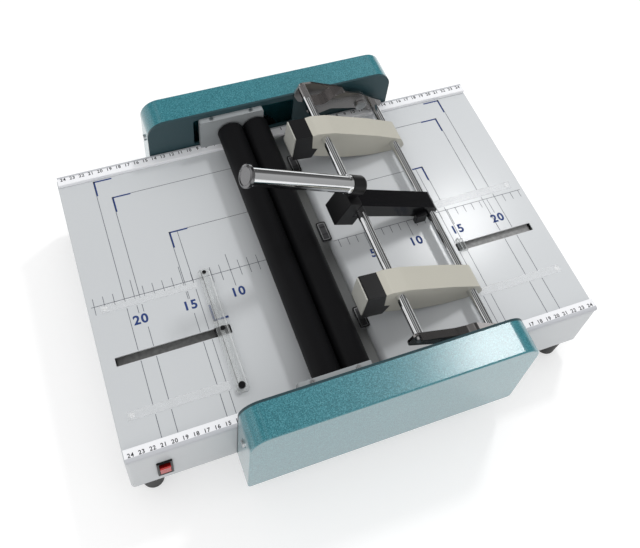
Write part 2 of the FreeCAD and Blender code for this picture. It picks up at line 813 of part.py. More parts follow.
def ordered(side, near, far):
    """Levels along Y for the front (-1) or the rear (1), low one first."""
    return (near, far) if side > 0 else (-far, -near)


def side_plate_piece(label, side):
    """Steel plate between the base wall and a housing; it carries the rollers and rod B."""
    body = new_body(label)
    low, high = ordered(side, half_depth, plate_outer)
    pad(body, "y", low, high, housing_outline(as_size(0)))
    holes = [rectangle(-window_left, table_top + window_sill, window_right, table_top + window_head, window_corner),
             (pivot_x, pivot_z, pivot_radius)]
    if side > 0:
        holes.append((motor_x, motor_z, drive_hub))
    pocket(body, "y", low, high, *holes)
    keep(body)


def housing(label, side):
    """Painted cover over a side plate: a shell with a large radius at its upper corners."""
    body = new_body(label)
    low, high = ordered(side, plate_outer, cover_outer)
    pad(body, "y", low, high, housing_outline(as_size(0)))
    inner_low, inner_high = ordered(side, plate_outer, cover_outer - cover_sheet)
    pocket(body, "y", inner_low, inner_high, housing_outline(cover_sheet))
    outer_face = cover_outer * side
    round_edges(body, cover_edge, lambda edge: at_level(edge, "y", outer_face))
    middle = (plate_outer + cover_outer) / 2 * side
    screw_z = table_top + cover_screw_rise
    slot = rectangle(middle - screw_slot_length / 2, screw_z - cover_screw_shank,
                     middle + screw_slot_length / 2, screw_z + cover_screw_shank, cover_screw_shank / 1.1)
    pocket(body, "x", -cover_left, -cover_left + cover_sheet, slot)
    pocket(body, "x", cover_right - cover_sheet, cover_right, slot)
    keep(body)


def housing_screws():
    """A screw in the slot at each end of both housings, into a lug on the side plate."""
    screws = []
    for side in (-1, 1):
        middle = (plate_outer + cover_outer) / 2 * side
        z = table_top + cover_screw_rise
        for end, face in ((-1, -cover_left), (1, cover_right)):
            head_low, head_high = (face - screw_head_height, face) if end < 0 else (face, face + screw_head_height)
            inner = face - cover_sheet * (4 * end)
            shank_low, shank_high = (face, inner) if end < 0 else (inner, face)
            head = cylinder("screw_head", "x", cover_screw_head, head_low, head_high, middle, z)
            shank = cylinder("screw_shank", "x", cover_screw_shank - running_gap, shank_low, shank_high, middle, z)
            screws.append(join("housing_screw", head, shank))
    keep(group("housing_screws", screws))


# ---------------------------------------------------------------- rollers
def bearing_bracket(label, side):
    """Pressed bracket in front of the side plate's window, with a bush for each roller."""
    body = new_body(label)
    near = half_depth - bracket_reach
    low, high = ordered(side, near, half_depth)
    bottom = table_top + strip_height
    top = table_top + bracket_rise
    left = -bracket_left
    right = -bracket_right
    pad(body, "y", low, high, rectangle(left, bottom, right, top, bracket_sheet))
    cut_low, cut_high = ordered(side, near + bracket_sheet, half_depth)
    pocket(body, "y", cut_low, cut_high,
           rectangle(left + bracket_sheet, bottom, right - bracket_sheet, top - bracket_sheet))
    hole_low, hole_high = ordered(side, near, near + bracket_sheet)
    pocket(body, "y", hole_low, hole_high,
           (left_roller_x, roller_z, bush_radius), (right_roller_x, roller_z, bush_radius))
    keep(body)


def bracket_screws():
    """Two screws on top of each bearing bracket."""
    screws = []
    for side in (-1, 1):
        y = (half_depth - bracket_reach / 2) * side
        for x in (-bracket_left + bracket_screw_inset, -bracket_right - bracket_screw_inset):
            z = table_top + bracket_rise
            head = cylinder("bracket_screw", "z", bracket_screw_head, z, z + screw_head_height / 2, x, y)
            screws.append(head)
    keep(group("bracket_screws", screws))


def roller_bushes():
    """Flanged bronze bushes, two in each bearing bracket."""
    bushes = []
    for side in (-1, 1):
        near = half_depth - bracket_reach
        for x in (left_roller_x, right_roller_x):
            flange_low, flange_high = ordered(side, near - bush_flange_thick, near)
            sleeve_low, sleeve_high = ordered(side, near - bush_flange_thick, near + bush_length)
            flange = cylinder("bush_flange", "y", bush_flange, flange_low, flange_high, x, roller_z)
            sleeve = cylinder("bush_sleeve", "y", bush_radius, sleeve_low, sleeve_high, x, roller_z)
            bore = cylinder("bush_bore", "y", roller_shaft + running_gap, sleeve_low, sleeve_high, x, roller_z)
            bushes.append(cut("roller_bush", join("bush_blank", flange, sleeve), bore))
    keep(group("roller_bushes", bushes))


def roller(prefix, x):
    """One rubber roller on its steel shaft."""
    end = roller_length / 2
    rubber = cylinder(prefix + "_rubber", "y", roller_radius, -end, end, x, roller_z)
    bore = cylinder(prefix + "_bore", "y", roller_shaft, -end, end, x, roller_z)
    keep(cut(prefix, rubber, bore))
    front = -(plate_outer + shaft_tail)
    rear = plate_outer + shaft_nose
    keep(cylinder(prefix + "_shaft", "y", roller_shaft, front, rear, x, roller_z))


def gear(label, teeth, x, z, phase, bore, hub, web=None):
    """Spur gear with straight-sided teeth, all copies of one tooth that points at its phase angle."""
    body = new_body(label)
    pitch_radius = gear_module * teeth / 2
    root = pitch_radius - gear_module * tooth_below
    tip = pitch_radius + gear_module * tooth_above
    pitch = gear_module * math.pi
    pad(body, "y", gear_near, gear_far, (as_size(0), as_size(0), root), (as_size(0), as_size(0), bore))
    half_tip = pitch * tooth_tip_share / 2
    half_pitch = pitch * tooth_share / 2
    half_root = pitch * tooth_root_share / 2
    inside = root * 0.97
    tooth = pad(body, "y", gear_near, gear_far,
                [(inside, -half_root), (pitch_radius, -half_pitch), (tip, -half_tip),
                 (tip, half_tip), (pitch_radius, half_pitch), (inside, half_root)])
    ring = body.newObject("PartDesign::PolarPattern", label + "_teeth")
    ring.Originals = [tooth]
    ring.Axis = (tooth.Profile[0], ["N_Axis"])
    ring.Angle = 360
    ring.Occurrences = teeth
    body.Tip = ring
    if web is not None:
        side = (gear_face - web) / 2
        rim = root - drive_rim
        pocket(body, "y", gear_near, gear_near + side, (as_size(0), as_size(0), rim), (as_size(0), as_size(0), hub))
        pocket(body, "y", gear_far - side, gear_far, (as_size(0), as_size(0), rim), (as_size(0), as_size(0), hub))
    body.Placement = Placement(Vector(), Rotation(Vector(0, 1, 0), -phase))
    bind(body, "Placement.Base.x", x)
    bind(body, "Placement.Base.z", z)
    keep(body)


def gear_train():
    """Roller gears mesh with each other, and the drive gear with the right one."""
    roller_pitch_angle = 360 / roller_teeth
    gear("left_roller_gear", roller_teeth, left_roller_x, roller_z, roller_pitch_angle / 2, roller_shaft, gear_hub)
    gear("right_roller_gear", roller_teeth, right_roller_x, roller_z, 0, roller_shaft, gear_hub)
    towards = math.degrees(math.atan2(motor_z.number - roller_z.number, motor_shift.number))
    half_step = 360 / roller_teeth / 2
    drive_phase = towards + 180 + (half_step + towards) * roller_teeth / drive_teeth
    gear("drive_gear", drive_teeth, motor_x, motor_z, drive_phase, drive_bore, drive_hub, drive_web)


def gear_motor():
    """Gear motor under the table, its shaft through the rear wall."""
    inner = half_depth - base_sheet
    box_front = inner - gearbox_length
    can_front = box_front - motor_length
    gearbox = cylinder("gearbox", "y", gearbox_radius, box_front, inner, motor_x, motor_z)
    can = cylinder("motor_can", "y", motor_radius, can_front, box_front, motor_x, motor_z)
    cap = cylinder("motor_cap", "y", motor_radius / 2, can_front - 3, can_front, motor_x, motor_z)
    seat = cylinder("motor_seat", "y", drive_bore + running_gap, inner - drive_seat - 1, inner, motor_x, motor_z)
    keep(cut("gear_motor", join("motor_blank", gearbox, can, cap), seat))
    keep(cylinder("drive_shaft", "y", drive_bore, inner - drive_seat, plate_outer + drive_nose, motor_x, motor_z))


# ---------------------------------------------------------------- fold knife
knife_top = table_top - knife_sunk
carrier_top = knife_top - knife_height
carrier_bottom = carrier_top - carrier_height
lift_half = lift_arm * sine(lift_angle)
lift_x = nip_place - lift_arm
lift_z = carrier_bottom - lift_gap - lift_tip_radius + lift_half


def fold_knife():
    """Thin knife under the nip, with a bevelled edge, on a carrier that slides on two posts."""
    knife = new_body("fold_knife")
    half = knife_thick / 2
    end = knife_length / 2
    pad(knife, "y", -end, end,
        [(nip_place - half, carrier_top), (nip_place + half, carrier_top), (nip_place + half, knife_top - 1),
         (nip_place + half - knife_bevel, knife_top), (nip_place - half + knife_bevel, knife_top),
         (nip_place - half, knife_top - 1)])
    keep(knife)
    carrier = new_body("knife_carrier")
    reach = post_place + carrier_end
    pad(carrier, "z", carrier_bottom, carrier_top,
        rectangle(nip_place - carrier_width / 2, -reach, nip_place + carrier_width / 2, reach, 3))
    bore = post_radius + running_gap
    pocket(carrier, "z", carrier_bottom, carrier_top, (nip_place, -post_place, bore), (nip_place, post_place, bore))
    keep(carrier)
    floor = foot_height + base_sheet
    posts = [cylinder("knife_post", "z", post_radius, floor, table_top - base_sheet, nip_place, post_place * side)
             for side in (-1, 1)]
    keep(group("knife_posts", posts))


def knife_lift_gear():
    """Cross shaft with two arms that push the knife carrier up."""
    end = lift_bracket_place + lift_bracket_thick + lift_shaft_end
    keep(cylinder("lift_shaft", "y", lift_shaft_radius, -end, end, lift_x, lift_z))
    arms = []
    for side in (-1, 1):
        arm = new_body("lift_arm_front" if side < 0 else "lift_arm_rear")
        middle = lift_arm_place * side
        low = middle - lift_arm_thick / 2
        high = middle + lift_arm_thick / 2
        pad(arm, "y", low, high,
            [(-lift_hub_radius, -lift_hub_radius, lift_hub_radius * 0.85),
             (lift_arm + lift_tip_radius, -lift_tip_radius, lift_tip_radius * 0.9),
             (lift_arm + lift_tip_radius, lift_tip_radius, lift_tip_radius * 0.9),
             (-lift_hub_radius, lift_hub_radius, lift_hub_radius * 0.85)])
        pocket(arm, "y", low, high, (as_size(0), as_size(0), lift_shaft_radius))
        arm.Placement = Placement(Vector(), Rotation(Vector(0, 1, 0), lift_angle.number))
        bind(arm, "Placement.Base.x", lift_x)
        bind(arm, "Placement.Base.z", lift_z)
        bind(arm, "Placement.Rotation.Angle", lift_angle)
        arms.append(arm)
    keep(group("lift_arms", arms))
    floor = foot_height + base_sheet
    brackets = []
    for side in (-1, 1):
        bracket = new_body("lift_bracket_front" if side < 0 else "lift_bracket_rear")
        low, high = ordered(side, lift_bracket_place, lift_bracket_place + lift_bracket_thick)
        half = lift_bracket_width / 2
        head = lift_z + lift_bracket_round
        pad(bracket, "y", low, high,
            [(lift_x - half, floor), (lift_x + half, floor), (lift_x + half, head, lift_bracket_round),
             (lift_x - half, head, lift_bracket_round)])
        pocket(bracket, "y", low, high, (lift_x, lift_z, lift_shaft_radius + running_gap))
        brackets.append(bracket)
    keep(group("lift_brackets", brackets))


# ---------------------------------------------------------------- anvil
def anvil():
    """Rail with forming inserts, on a channel beam between the front and rear walls."""
    inner = half_depth - base_sheet
    rail_top = table_top + rail_rise
    rail_bottom = rail_top - rail_height
    half = rail_length / 2
    keep(box("anvil_rail", rail_left, rail_right, -half, half, rail_bottom, rail_top))
    beam = new_body("anvil_beam")
    pad(beam, "y", -inner, inner,
        [(-beam_left, rail_bottom - beam_height), (beam_right, rail_bottom - beam_height),
         (beam_right, rail_bottom), (-beam_left, rail_bottom)])
    pocket(beam, "y", -inner, inner,
           [(-beam_left + beam_wall, rail_bottom - beam_height), (beam_right - beam_wall, rail_bottom - beam_height),
            (beam_right - beam_wall, rail_bottom - beam_wall), (-beam_left + beam_wall, rail_bottom - beam_wall)])
    keep(beam)
    inserts = []
    for number, place in enumerate((-front_stapler_place, insert_middle, rear_stapler_place)):
        insert = new_body("anvil_insert_%d" % number)
        left = insert_place - insert_width / 2
        right = insert_place + insert_width / 2
        low = place - insert_length / 2
        high = place + insert_length / 2
        top = rail_top + insert_height
        pad(insert, "z", rail_top, top, rectangle(left, low, right, high, 1.5))
        grooves = []
        for side in (-1, 1):
            middle = place + insert_groove_place * side
            grooves.append(rectangle(insert_place - insert_groove, middle - insert_groove / 2,
                                     insert_place + insert_groove, middle + insert_groove / 2))
        pocket(insert, "z", top - insert_groove_depth, top, *grooves)
        inserts.append(insert)
    keep(group("anvil_inserts", inserts))


# ---------------------------------------------------------------- swing frame
def rods():
    """Two polished guide rods across the swing frame."""
    front = -(arm_place + arm_sheet + rod_front_stub)
    rear = half_depth - rod_rear_gap
    for label, reach in (("rod_a", rod_spacing), ("rod_b", as_size(0))):
        x = rod_b_place - reach * cosine(rest_tilt)
        z = rod_b_z + reach * sine(rest_tilt)
        keep(cylinder(label, "y", rod_radius, front, rear, x, z))


def pivot_pins():
    """Headed pins in the side plates that the swing arms turn on, each with a collar."""
    pins = []
    for side in (-1, 1):
        head_face = arm_place - pivot_side_gap
        low, high = ordered(side, head_face - pivot_head_thick, head_face)
        head = cylinder("pivot_head", "y", pivot_head, low, high, pivot_x, pivot_z)
        low, high = ordered(side, half_depth - pivot_collar_thick, half_depth)
        collar = cylinder("pivot_collar", "y", pivot_collar, low, high, pivot_x, pivot_z)
        low, high = ordered(side, head_face - pivot_head_thick, plate_outer + pivot_tail)
        shank = cylinder("pivot_shank", "y", pivot_radius, low, high, pivot_x, pivot_z)
        pins.append(join("pivot_pin", head, collar, shank))
    keep(group("pivot_pins", pins))


def swing_arm_front():
    """Pressed arm that joins the rods, with a turned-out flange along its top edge."""
    body = new_body("swing_arm_front")
    end = rod_spacing + arm_hub
    crest = -arm_crest_place
    top = [(-end, arm_brow, 4), (crest - 20, arm_brow + 2, 14), (crest - 8, arm_crest - 4, 8),
           (crest, arm_crest, 8), (-8, arm_heel + 2, 8)]
    pad(body, "y", -(arm_place + arm_sheet), -arm_place,
        [(-end, -arm_hub, arm_hub * 0.7), (-(rod_spacing - arm_bend), -14, 8), (crest, -12, 14),
         (arm_heel, -arm_heel, arm_heel * 0.9), (arm_heel, arm_heel - 1, arm_heel * 0.7)] + top[::-1])
    pocket(body, "y", -(arm_place + arm_sheet), -arm_place,
           (-rod_spacing, as_size(0), rod_radius), (as_size(0), as_size(0), rod_radius),
           (-pivot_reach, as_size(0), pivot_radius + running_gap))
    under = arm_sheet
    pad(body, "y", -(arm_place + arm_sheet + arm_step), -(arm_place + arm_sheet),
        [(-end + 5, arm_brow), (crest - 20, arm_brow + 2, 14), (crest - 8, arm_crest - 4, 8), (crest, arm_crest, 8),
         (-10, arm_heel + 2.5), (-10, arm_heel + 2.5 - under), (crest, arm_crest - under, 6),
         (crest - 7, arm_crest - 4 - under, 10), (crest - 20, arm_brow + 2 - under, 16), (-end + 5, arm_brow - under)])
    on_swing_frame(body)


def swing_arm_rear():
    """Pressed arm set back round rod A: an inner plate, a ledge along an S-bend and an outer plate."""
    body = new_body("swing_arm_rear")
    inner = arm_place + arm_sheet
    outer = inner + arm_step
    bend = -(rod_spacing - arm_bend)
    crest = -arm_crest_place
    toe = bend - 18
    pad(body, "y", arm_place, inner,
        [(arm_heel, -arm_heel, arm_heel * 0.9), (arm_heel, arm_heel - 1, arm_heel * 0.7), (-10, arm_heel + 2.5, 8),
         (crest + 4, arm_crest, 10), (bend + 16, arm_crest - 1, 6), (bend + 7, 9, 6), (bend, -5, 8), (toe, -10, 2),
         (toe, -arm_toe_drop + 2, 4), (bend - 2, -arm_toe_drop, 6), (bend + 12, -11, 8), (-26, -7, 10)])
    pocket(body, "y", arm_place, inner,
           (as_size(0), as_size(0), rod_radius), (-pivot_reach, as_size(0), pivot_radius + running_gap))
    pad(body, "y", inner, outer,
        [(bend + 18, arm_crest - 1), (bend + 16, arm_crest - 1, 1), (bend + 7, 9, 6), (bend, -5, 8), (toe, -10),
         (toe, -10 - arm_sheet), (bend - 0.6, -5 - arm_sheet, 10), (bend + 9.4, 8, 4), (bend + 18, arm_crest - 6)])
    pad(body, "y", outer, outer + arm_sheet,
        [(bend + 18, arm_crest - 6), (bend + 18, arm_crest - 1, 2), (-rod_spacing + 18, arm_top, 12),
         (-rod_spacing, arm_top + 1, 10), (-rod_spacing - arm_end, arm_top - 3, 3), (-rod_spacing - arm_end, -4, 5),
         (-rod_spacing - 3, -10 - arm_sheet, 5), (toe, -10 - arm_sheet), (bend - 0.6, -5 - arm_sheet, 10),
         (bend + 9.4, 8, 4)])
    pocket(body, "y", outer, outer + arm_sheet, (-rod_spacing, as_size(0), rod_radius))
    on_swing_frame(body)


def return_springs():
    """Torsion springs round the pivot pins, between each swing arm and its collar."""
    springs = []
    start = arm_place + arm_sheet + spring_wire * 1.2
    for side in (-1, 1):
        spring = new_body("return_spring_front" if side < 0 else "return_spring_rear")
        sketch = sketch_at(spring, "z", as_size(0))
        middle = start * side
        draw(sketch, [rectangle(spring_inner, middle - spring_wire, spring_inner + spring_wire * 2,
                                middle + spring_wire)])
        coil = spring.newObject("PartDesign::AdditiveHelix", spring.Label + "_coil")
        coil.Profile = sketch
        coil.ReferenceAxis = (sketch, ["V_Axis"])
        coil.Mode = 1
        bind(coil, "Pitch", spring_lead)
        bind(coil, "Turns", spring_turns)
        coil.Reversed = side < 0
        bind(spring, "Placement.Base.x", pivot_x)
        bind(spring, "Placement.Base.z", pivot_z)
        springs.append(spring)
    keep(group("return_springs", springs))


def press_arm():
    """Black arm over both rods that the handle presses down."""
    body = new_body("press_arm")
    front = press_front
    rear = press_front + press_depth
    pad(body, "y", front, rear,
        [(-press_left, -press_bottom, 2), (-clamp_left, -press_bottom), (-clamp_left, -clamp_drop, 2),
         (clamp_right, -clamp_drop, 2), (press_end, -press_end, press_end * 0.6),
         (press_end, press_top_right, press_end * 0.9), (-press_left, press_top_left, 2)])
    pocket(body, "y", front, rear, (-rod_spacing, as_size(0), rod_radius), (as_size(0), as_size(0), rod_radius))
    pocket(body, "y", front, front + (press_depth - clamp_depth) / 2,
           rectangle(-clamp_left - 1, -clamp_drop - 1, press_end + 1, -press_bottom))
    pocket(body, "y", rear - (press_depth - clamp_depth) / 2, rear,
           rectangle(-clamp_left - 1, -clamp_drop - 1, press_end + 1, -press_bottom))
    on_swing_frame(body)


def handle_block():
    """Black block round the left end of the press arm, under the handle."""
    body = new_body("handle_block")
    front = press_front
    rear = press_front + block_depth
    pad(body, "y", front, rear,
        [(-block_left, -block_bottom), (-block_foot_right, -block_bottom), (-block_foot_right, -press_bottom),
         (-press_left, -press_bottom), (-press_left, block_top), (-block_left, block_top)])
    round_edges(body, block_edge, lambda edge: at_level(edge, "y", front) or at_level(edge, "y", rear))
    on_swing_frame(body)


def turned(label, profile, x, y, z, tilt):
    """A piece turned about the handle's axis, from a profile of length and radius."""
    body = new_body(label)
    sketch = sketch_at(body, "y", as_size(0))
    draw(sketch, [profile])
    feature = body.newObject("PartDesign::Revolution", label + "_turned")
    feature.Profile = sketch
    feature.ReferenceAxis = (sketch, ["H_Axis"])
    feature.Angle = 360
    total = rest_tilt + tilt
    body.Placement = Placement(Vector(), Rotation(Vector(0, 1, 0), total.number))
    bind(body, "Placement.Rotation.Angle", total)
    bind(body, "Placement.Base.x", rod_b_place + x * cosine(rest_tilt) + z * sine(rest_tilt))
    bind(body, "Placement.Base.y", y)
    bind(body, "Placement.Base.z", rod_b_z - x * sine(rest_tilt) + z * cosine(rest_tilt))
    return body


def handle():
    """Chrome handle tube with a knob and a lipped end, in a black socket on the block."""
    at = (-handle_start, handle_place, handle_rise, handle_tilt)
    inner = handle_radius - handle_wall
    tube = turned("handle_tube",
           [(-handle_length, inner), (as_size(0), inner), (as_size(0), handle_lip_radius - 0.8),
            (-0.8, handle_lip_radius), (-handle_lip, handle_lip_radius), (-handle_lip - 1, handle_radius),
            (-handle_length, handle_radius)],
           *at)
    knob = turned("handle_knob",
           [(-handle_length - knob_length + knob_dish, 0), (-handle_length - knob_length + knob_dish, knob_radius - 3),
            (-handle_length - knob_length, knob_radius - 2), (-handle_length - knob_length + 0.9, knob_radius),
            (-handle_length - 1.2, knob_radius), (-handle_length, knob_radius - 1.2), (-handle_length, 0)],
           *at)
    socket = turned("handle_collar",
           [(-handle_lip * 2, 0), (-handle_lip * 2, inner), (0, inner), (0, collar_radius - 0.6),
            (0.6, collar_radius), (collar_length - collar_round, collar_radius),
            (collar_length - collar_round * 0.3, collar_radius - collar_round * 0.3),
            (collar_length, collar_radius - collar_round), (collar_length, 0)],
           *at)
    stem = new_body("handle_stem")
    low = handle_place - stem_width / 2
    high = handle_place + stem_width / 2
    left = -handle_start + 5.5
    right = -handle_start + 5.5 + stem_width
    seat = handle_rise - collar_radius
    pad(stem, "y", low, high,
        [(left, block_top), (right, block_top), (right, seat + 1), (left, seat + 1)])
    place_on_swing_frame(stem)
    keep(tube, knob, join("handle_socket", socket, stem))


# ---------------------------------------------------------------- staplers
def stapler(prefix, place):
    """Stapler head: channel body over both rods, black nose, pale end plate and magazine."""
    half = stapler_width / 2
    low = place - half
    high = place + half
    nose = new_body(prefix + "_nose")
    seat = (-nose_seat, nose_seat_rise)
    notch_z = -(nose_heel_drop - 15)
    notch = (-(nose_heel + 7), notch_z)
    pad(nose, "y", low, high,
        [(-nose_front, -nose_front_drop, 1), (-nose_toe, -nose_toe_drop, 0.8), (-nose_heel, -nose_heel_drop, 1.5),
         (-nose_heel, notch_z, 1), notch, seat])
    on_swing_frame(nose)
    plate = new_body(prefix + "_plate")
    top_x = -nose_front + (nose_front - nose_toe) * plate_start
    top_z = -nose_front_drop - (nose_toe_drop - nose_front_drop) * plate_start
    toe_x = -nose_front + (nose_front - nose_toe) * plate_end
    toe_z = -nose_front_drop - (nose_toe_drop - nose_front_drop) * plate_end
    pad(plate, "y", low + plate_inset, high - plate_inset,
        [(top_x, top_z), (top_x - nose_plate, top_z), (toe_x - nose_plate, toe_z), (toe_x, toe_z)])
    on_swing_frame(plate)
    body = new_body(prefix + "_body")
    tail = body_tail
    outline = [seat, (-(nose_seat - 6), body_crown - 3.6, 4), (-(rod_spacing * 0.94), body_crown, 20),
               (-(rod_spacing * 0.3), body_crown, 60), (tail * 0.45, body_crown - 2.4, 6), (tail, -2, 4),
               (tail, -belly_tail, 2), (8, -12, 4), (2, -belly_heel, 6),
               (-belly_middle_place, -belly_middle, 20), (-belly_deep_place, -body_belly, 20),
               (-nose_heel + 0.3, -body_belly, 2), (-nose_heel + 0.3, notch_z), notch]
    pad(body, "y", low, high, outline)
    wall = stapler_wall
    pocket(body, "y", low + wall, high - wall,
           [(-(nose_seat - 8), body_crown - 3.6 - wall), (-(rod_spacing * 0.94), body_crown - wall),
            (-(rod_spacing * 0.3), body_crown - wall), (tail * 0.35, body_crown - 2.6 - wall),
            (tail - wall, -4), (tail - wall, -body_belly - 1), (-nose_heel + wall + 0.3, -body_belly - 1),
            (-nose_heel + wall + 0.3, notch_z + wall), (-(nose_heel + 5.2), notch_z + wall)])
    pocket(body, "y", low, high,
           (-rod_spacing, as_size(0), rod_radius + running_gap), (as_size(0), as_size(0), rod_radius + running_gap))
    on_swing_frame(body)
    magazine = new_body(prefix + "_magazine")
    magazine_left = -nose_heel + wall + 0.3
    mid_low = place - magazine_width / 2
    mid_high = place + magazine_width / 2
    pad(magazine, "y", mid_low, mid_high,
        rectangle(magazine_left, -magazine_bottom, -magazine_right, -magazine_top))
    pocket(magazine, "y", mid_low + magazine_wall, mid_high - magazine_wall,
           rectangle(magazine_left - 1, -magazine_bottom + magazine_wall, -magazine_right + 1, -magazine_top))
    on_swing_frame(magazine)


# ---------------------------------------------------------------- stops
def slider(label, x, y, top, length):
    """Slider in a table slot: a neck in the slot and a flange under the table."""
    body = new_body(label)
    half = slot_width / 2 - slot_gap
    under = table_top - base_sheet - slot_gap
    reach = slot_width / 2 + slider_lip
    pad(body, "x", x - length / 2, x + length / 2,
        [(y - reach, under - slider_foot), (y + reach, under - slider_foot), (y + reach, under), (y + half, under),
         (y + half, top), (y - half, top), (y - half, under), (y - reach, under)])
    keep(body)
    return body


def left_stop():
    """Clear bar across the left slot, on a slider, with a black screw at its front end."""
    bar_bottom = table_top + stop_lift
    bar_top = bar_bottom + stop_thick
    slider("left_stop_slider", stop_place, left_slot_place, bar_bottom, slider_length)
    bar = new_body("left_stop_bar")
    half = stop_width / 2
    pad(bar, "z", bar_bottom, bar_top,
        rectangle(stop_place - half, stop_front, stop_place + half, stop_rear, stop_chamfer))
    bevel_edges(bar, stop_bevel, lambda edge: at_level(edge, "z", bar_top))
    keep(bar)
    top = bar_top + knob_screw_height
    front = cylinder("stop_screw", "z", knob_screw_radius, bar_top, top, stop_place, knob_screw_place)
    middle = cylinder("stop_screw_middle", "z", knob_screw_radius * 0.7, bar_top, top - 1, stop_place, left_slot_place)
    rear = cylinder("stop_screw_rear", "z", knob_screw_radius * 0.6, bar_top, top - 1.6, stop_place, stop_rear - 4)
    keep(group("left_stop_screws", [front, middle, rear]))


def right_stop():
    """Dark fence on a slider at the inner end of the right slot."""
    top = table_top + stop_lift
    slider("right_stop_slider", fence_place, right_slot_place, top, fence_length)
    fence = new_body("right_stop_fence")
    left = fence_place - fence_length / 2
    pad(fence, "y", right_slot_place - fence_depth / 2, right_slot_place + fence_depth / 2,
        [(left, top), (left + fence_length, top), (left + fence_length, top + fence_thick),
         (left + fence_thick, top + fence_thick), (left + fence_thick, top + fence_height, 1),
         (left, top + fence_height, 1)])
    keep(fence)


# ---------------------------------------------------------------- switch and inlet
def rocker_switch():
    """Black frame in the front wall with a red rocker hinged across it."""
    z = table_top - switch_drop
    face = -half_depth - switch_proud
    half_width = switch_width / 2
    half_height = switch_height / 2
    frame = new_body("switch_frame")
    pad(frame, "y", face, -half_depth,
        rectangle(switch_place - half_width, z - half_height, switch_place + half_width, z + half_height, 1))
    body_width = half_width - switch_body_inset
    body_height = half_height - switch_body_inset
    pad(frame, "y", -half_depth, -half_depth + switch_depth,
        rectangle(switch_place - body_width, z - body_height, switch_place + body_width, z + body_height))
    well_width = half_width - switch_rim
    well_height = half_height - switch_rim
    pocket(frame, "y", face, face + switch_proud + rocker_depth + 2.5,
           rectangle(switch_place - well_width, z - well_height, switch_place + well_width, z + well_height))
    keep(frame)
    rocker = new_body("switch_rocker")
    width = well_width - rocker_gap
    height = well_height - 0.9
    pad(rocker, "x", -width, width,
        [(-rocker_reach + 1.4, 0), (-rocker_reach, height - 1.5), (-rocker_reach + 1.2, height),
         (rocker_depth, height * 0.55), (rocker_depth, -height * 0.55), (-rocker_reach + 1.2, -height),
         (-rocker_reach, -height + 1.5)])
    rocker.Placement = Placement(Vector(), Rotation(Vector(1, 0, 0), rocker_tilt.number))
    bind(rocker, "Placement.Rotation.Angle", rocker_tilt)
    bind(rocker, "Placement.Base.x", switch_place)
    bind(rocker, "Placement.Base.y", face + 1.2)
    bind(rocker, "Placement.Base.z", z)
    keep(rocker)


def power_inlet():
    """Mains inlet in the rear wall: flange, body, well and three pins."""
    z = table_top - inlet_drop
    body = new_body("power_inlet")
    pad(body, "y", half_depth, half_depth + inlet_flange,
        rectangle(inlet_place - inlet_width / 2, z - inlet_height / 2,
                  inlet_place + inlet_width / 2, z + inlet_height / 2, 2))
    pad(body, "y", half_depth - inlet_depth, half_depth,
        rectangle(inlet_place - inlet_hole_width / 2, z - inlet_hole_height / 2,
                  inlet_place + inlet_hole_width / 2, z + inlet_hole_height / 2))
    floor = half_depth + inlet_flange - inlet_well_depth
    half = inlet_well_width / 2
    tall = inlet_well_height / 2
    pocket(body, "y", floor, half_depth + inlet_flange,
           [(inlet_place - half, z - tall), (inlet_place + half, z - tall), (inlet_place + half, z + tall - 4),
            (inlet_place + half - 4, z + tall), (inlet_place - half + 4, z + tall), (inlet_place - half, z + tall - 4)])
    pins = []
    for step in (-1, 0, 1):
        x = inlet_place + inlet_pin_pitch * step
        middle = z + inlet_pin_step / 2 - inlet_pin_step * abs(step)
        pins.append(rectangle(x - inlet_pin_width / 2, middle - inlet_pin_height / 2,
                              x + inlet_pin_width / 2, middle + inlet_pin_height / 2))
    pad(body, "y", floor, floor + inlet_pin_length, *pins)
    keep(body)


# ---------------------------------------------------------------- assembly
base_shell()
bottom_plate()
rubber_feet()
ruler_strip("ruler_strip_front", -1)
ruler_strip("ruler_strip_rear", 1)
glide_ribs()
side_plate_piece("side_plate_front", -1)
side_plate_piece("side_plate_rear", 1)
housing("cover_front", -1)
housing("cover_rear", 1)
housing_screws()
bearing_bracket("bearing_bracket_front", -1)
bearing_bracket("bearing_bracket_rear", 1)
bracket_screws()
roller_bushes()
roller("left_roller", left_roller_x)
roller("right_roller", right_roller_x)
gear_train()
gear_motor()
fold_knife()
knife_lift_gear()
anvil()
rods()
pivot_pins()
swing_arm_front()
swing_arm_rear()
return_springs()
press_arm()
handle_block()
handle()
stapler("rear_stapler", rear_stapler_place)
stapler("front_stapler", -front_stapler_place)
left_stop()
right_stop()
rocker_switch()
power_inlet()

doc.recompute()
faults = [item.Label for item in doc.Objects if "Invalid" in item.State or "Error" in item.State]
for part in parts:
    if part.Shape.isNull() or not part.Shape.isValid() or not part.Shape.Solids:
        faults.append(part.Label + " shape")
if faults:
    raise ValueError("failed objects: " + ", ".join(faults))

os.makedirs("parts", exist_ok=True)
for part in parts:
    part.Shape.exportStep("parts/" + part.Label + ".step")
    bounds = part.Shape.BoundBox
    print("%-24s solids %d  volume %10.1f  x %7.1f %7.1f  y %7.1f %7.1f  z %6.1f %6.1f" % (
        part.Label, len(part.Shape.Solids), part.Shape.Volume, bounds.XMin, bounds.XMax,
        bounds.YMin, bounds.YMax, bounds.ZMin, bounds.ZMax))
print(len(parts), "nodes")
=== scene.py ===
# %% [markdown]
# A desktop booklet maker: a long pale table with two stapler heads on a swinging frame and two rubber
# rollers that fold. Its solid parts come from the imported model, which stays exactly where it is. This
# lesson gives those parts their finishes, prints the marks on the table, adds the small hardware, and
# lights the machine like a catalogue picture.

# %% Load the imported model
import math

import bmesh
import bpy
from mathutils import Matrix, Vector


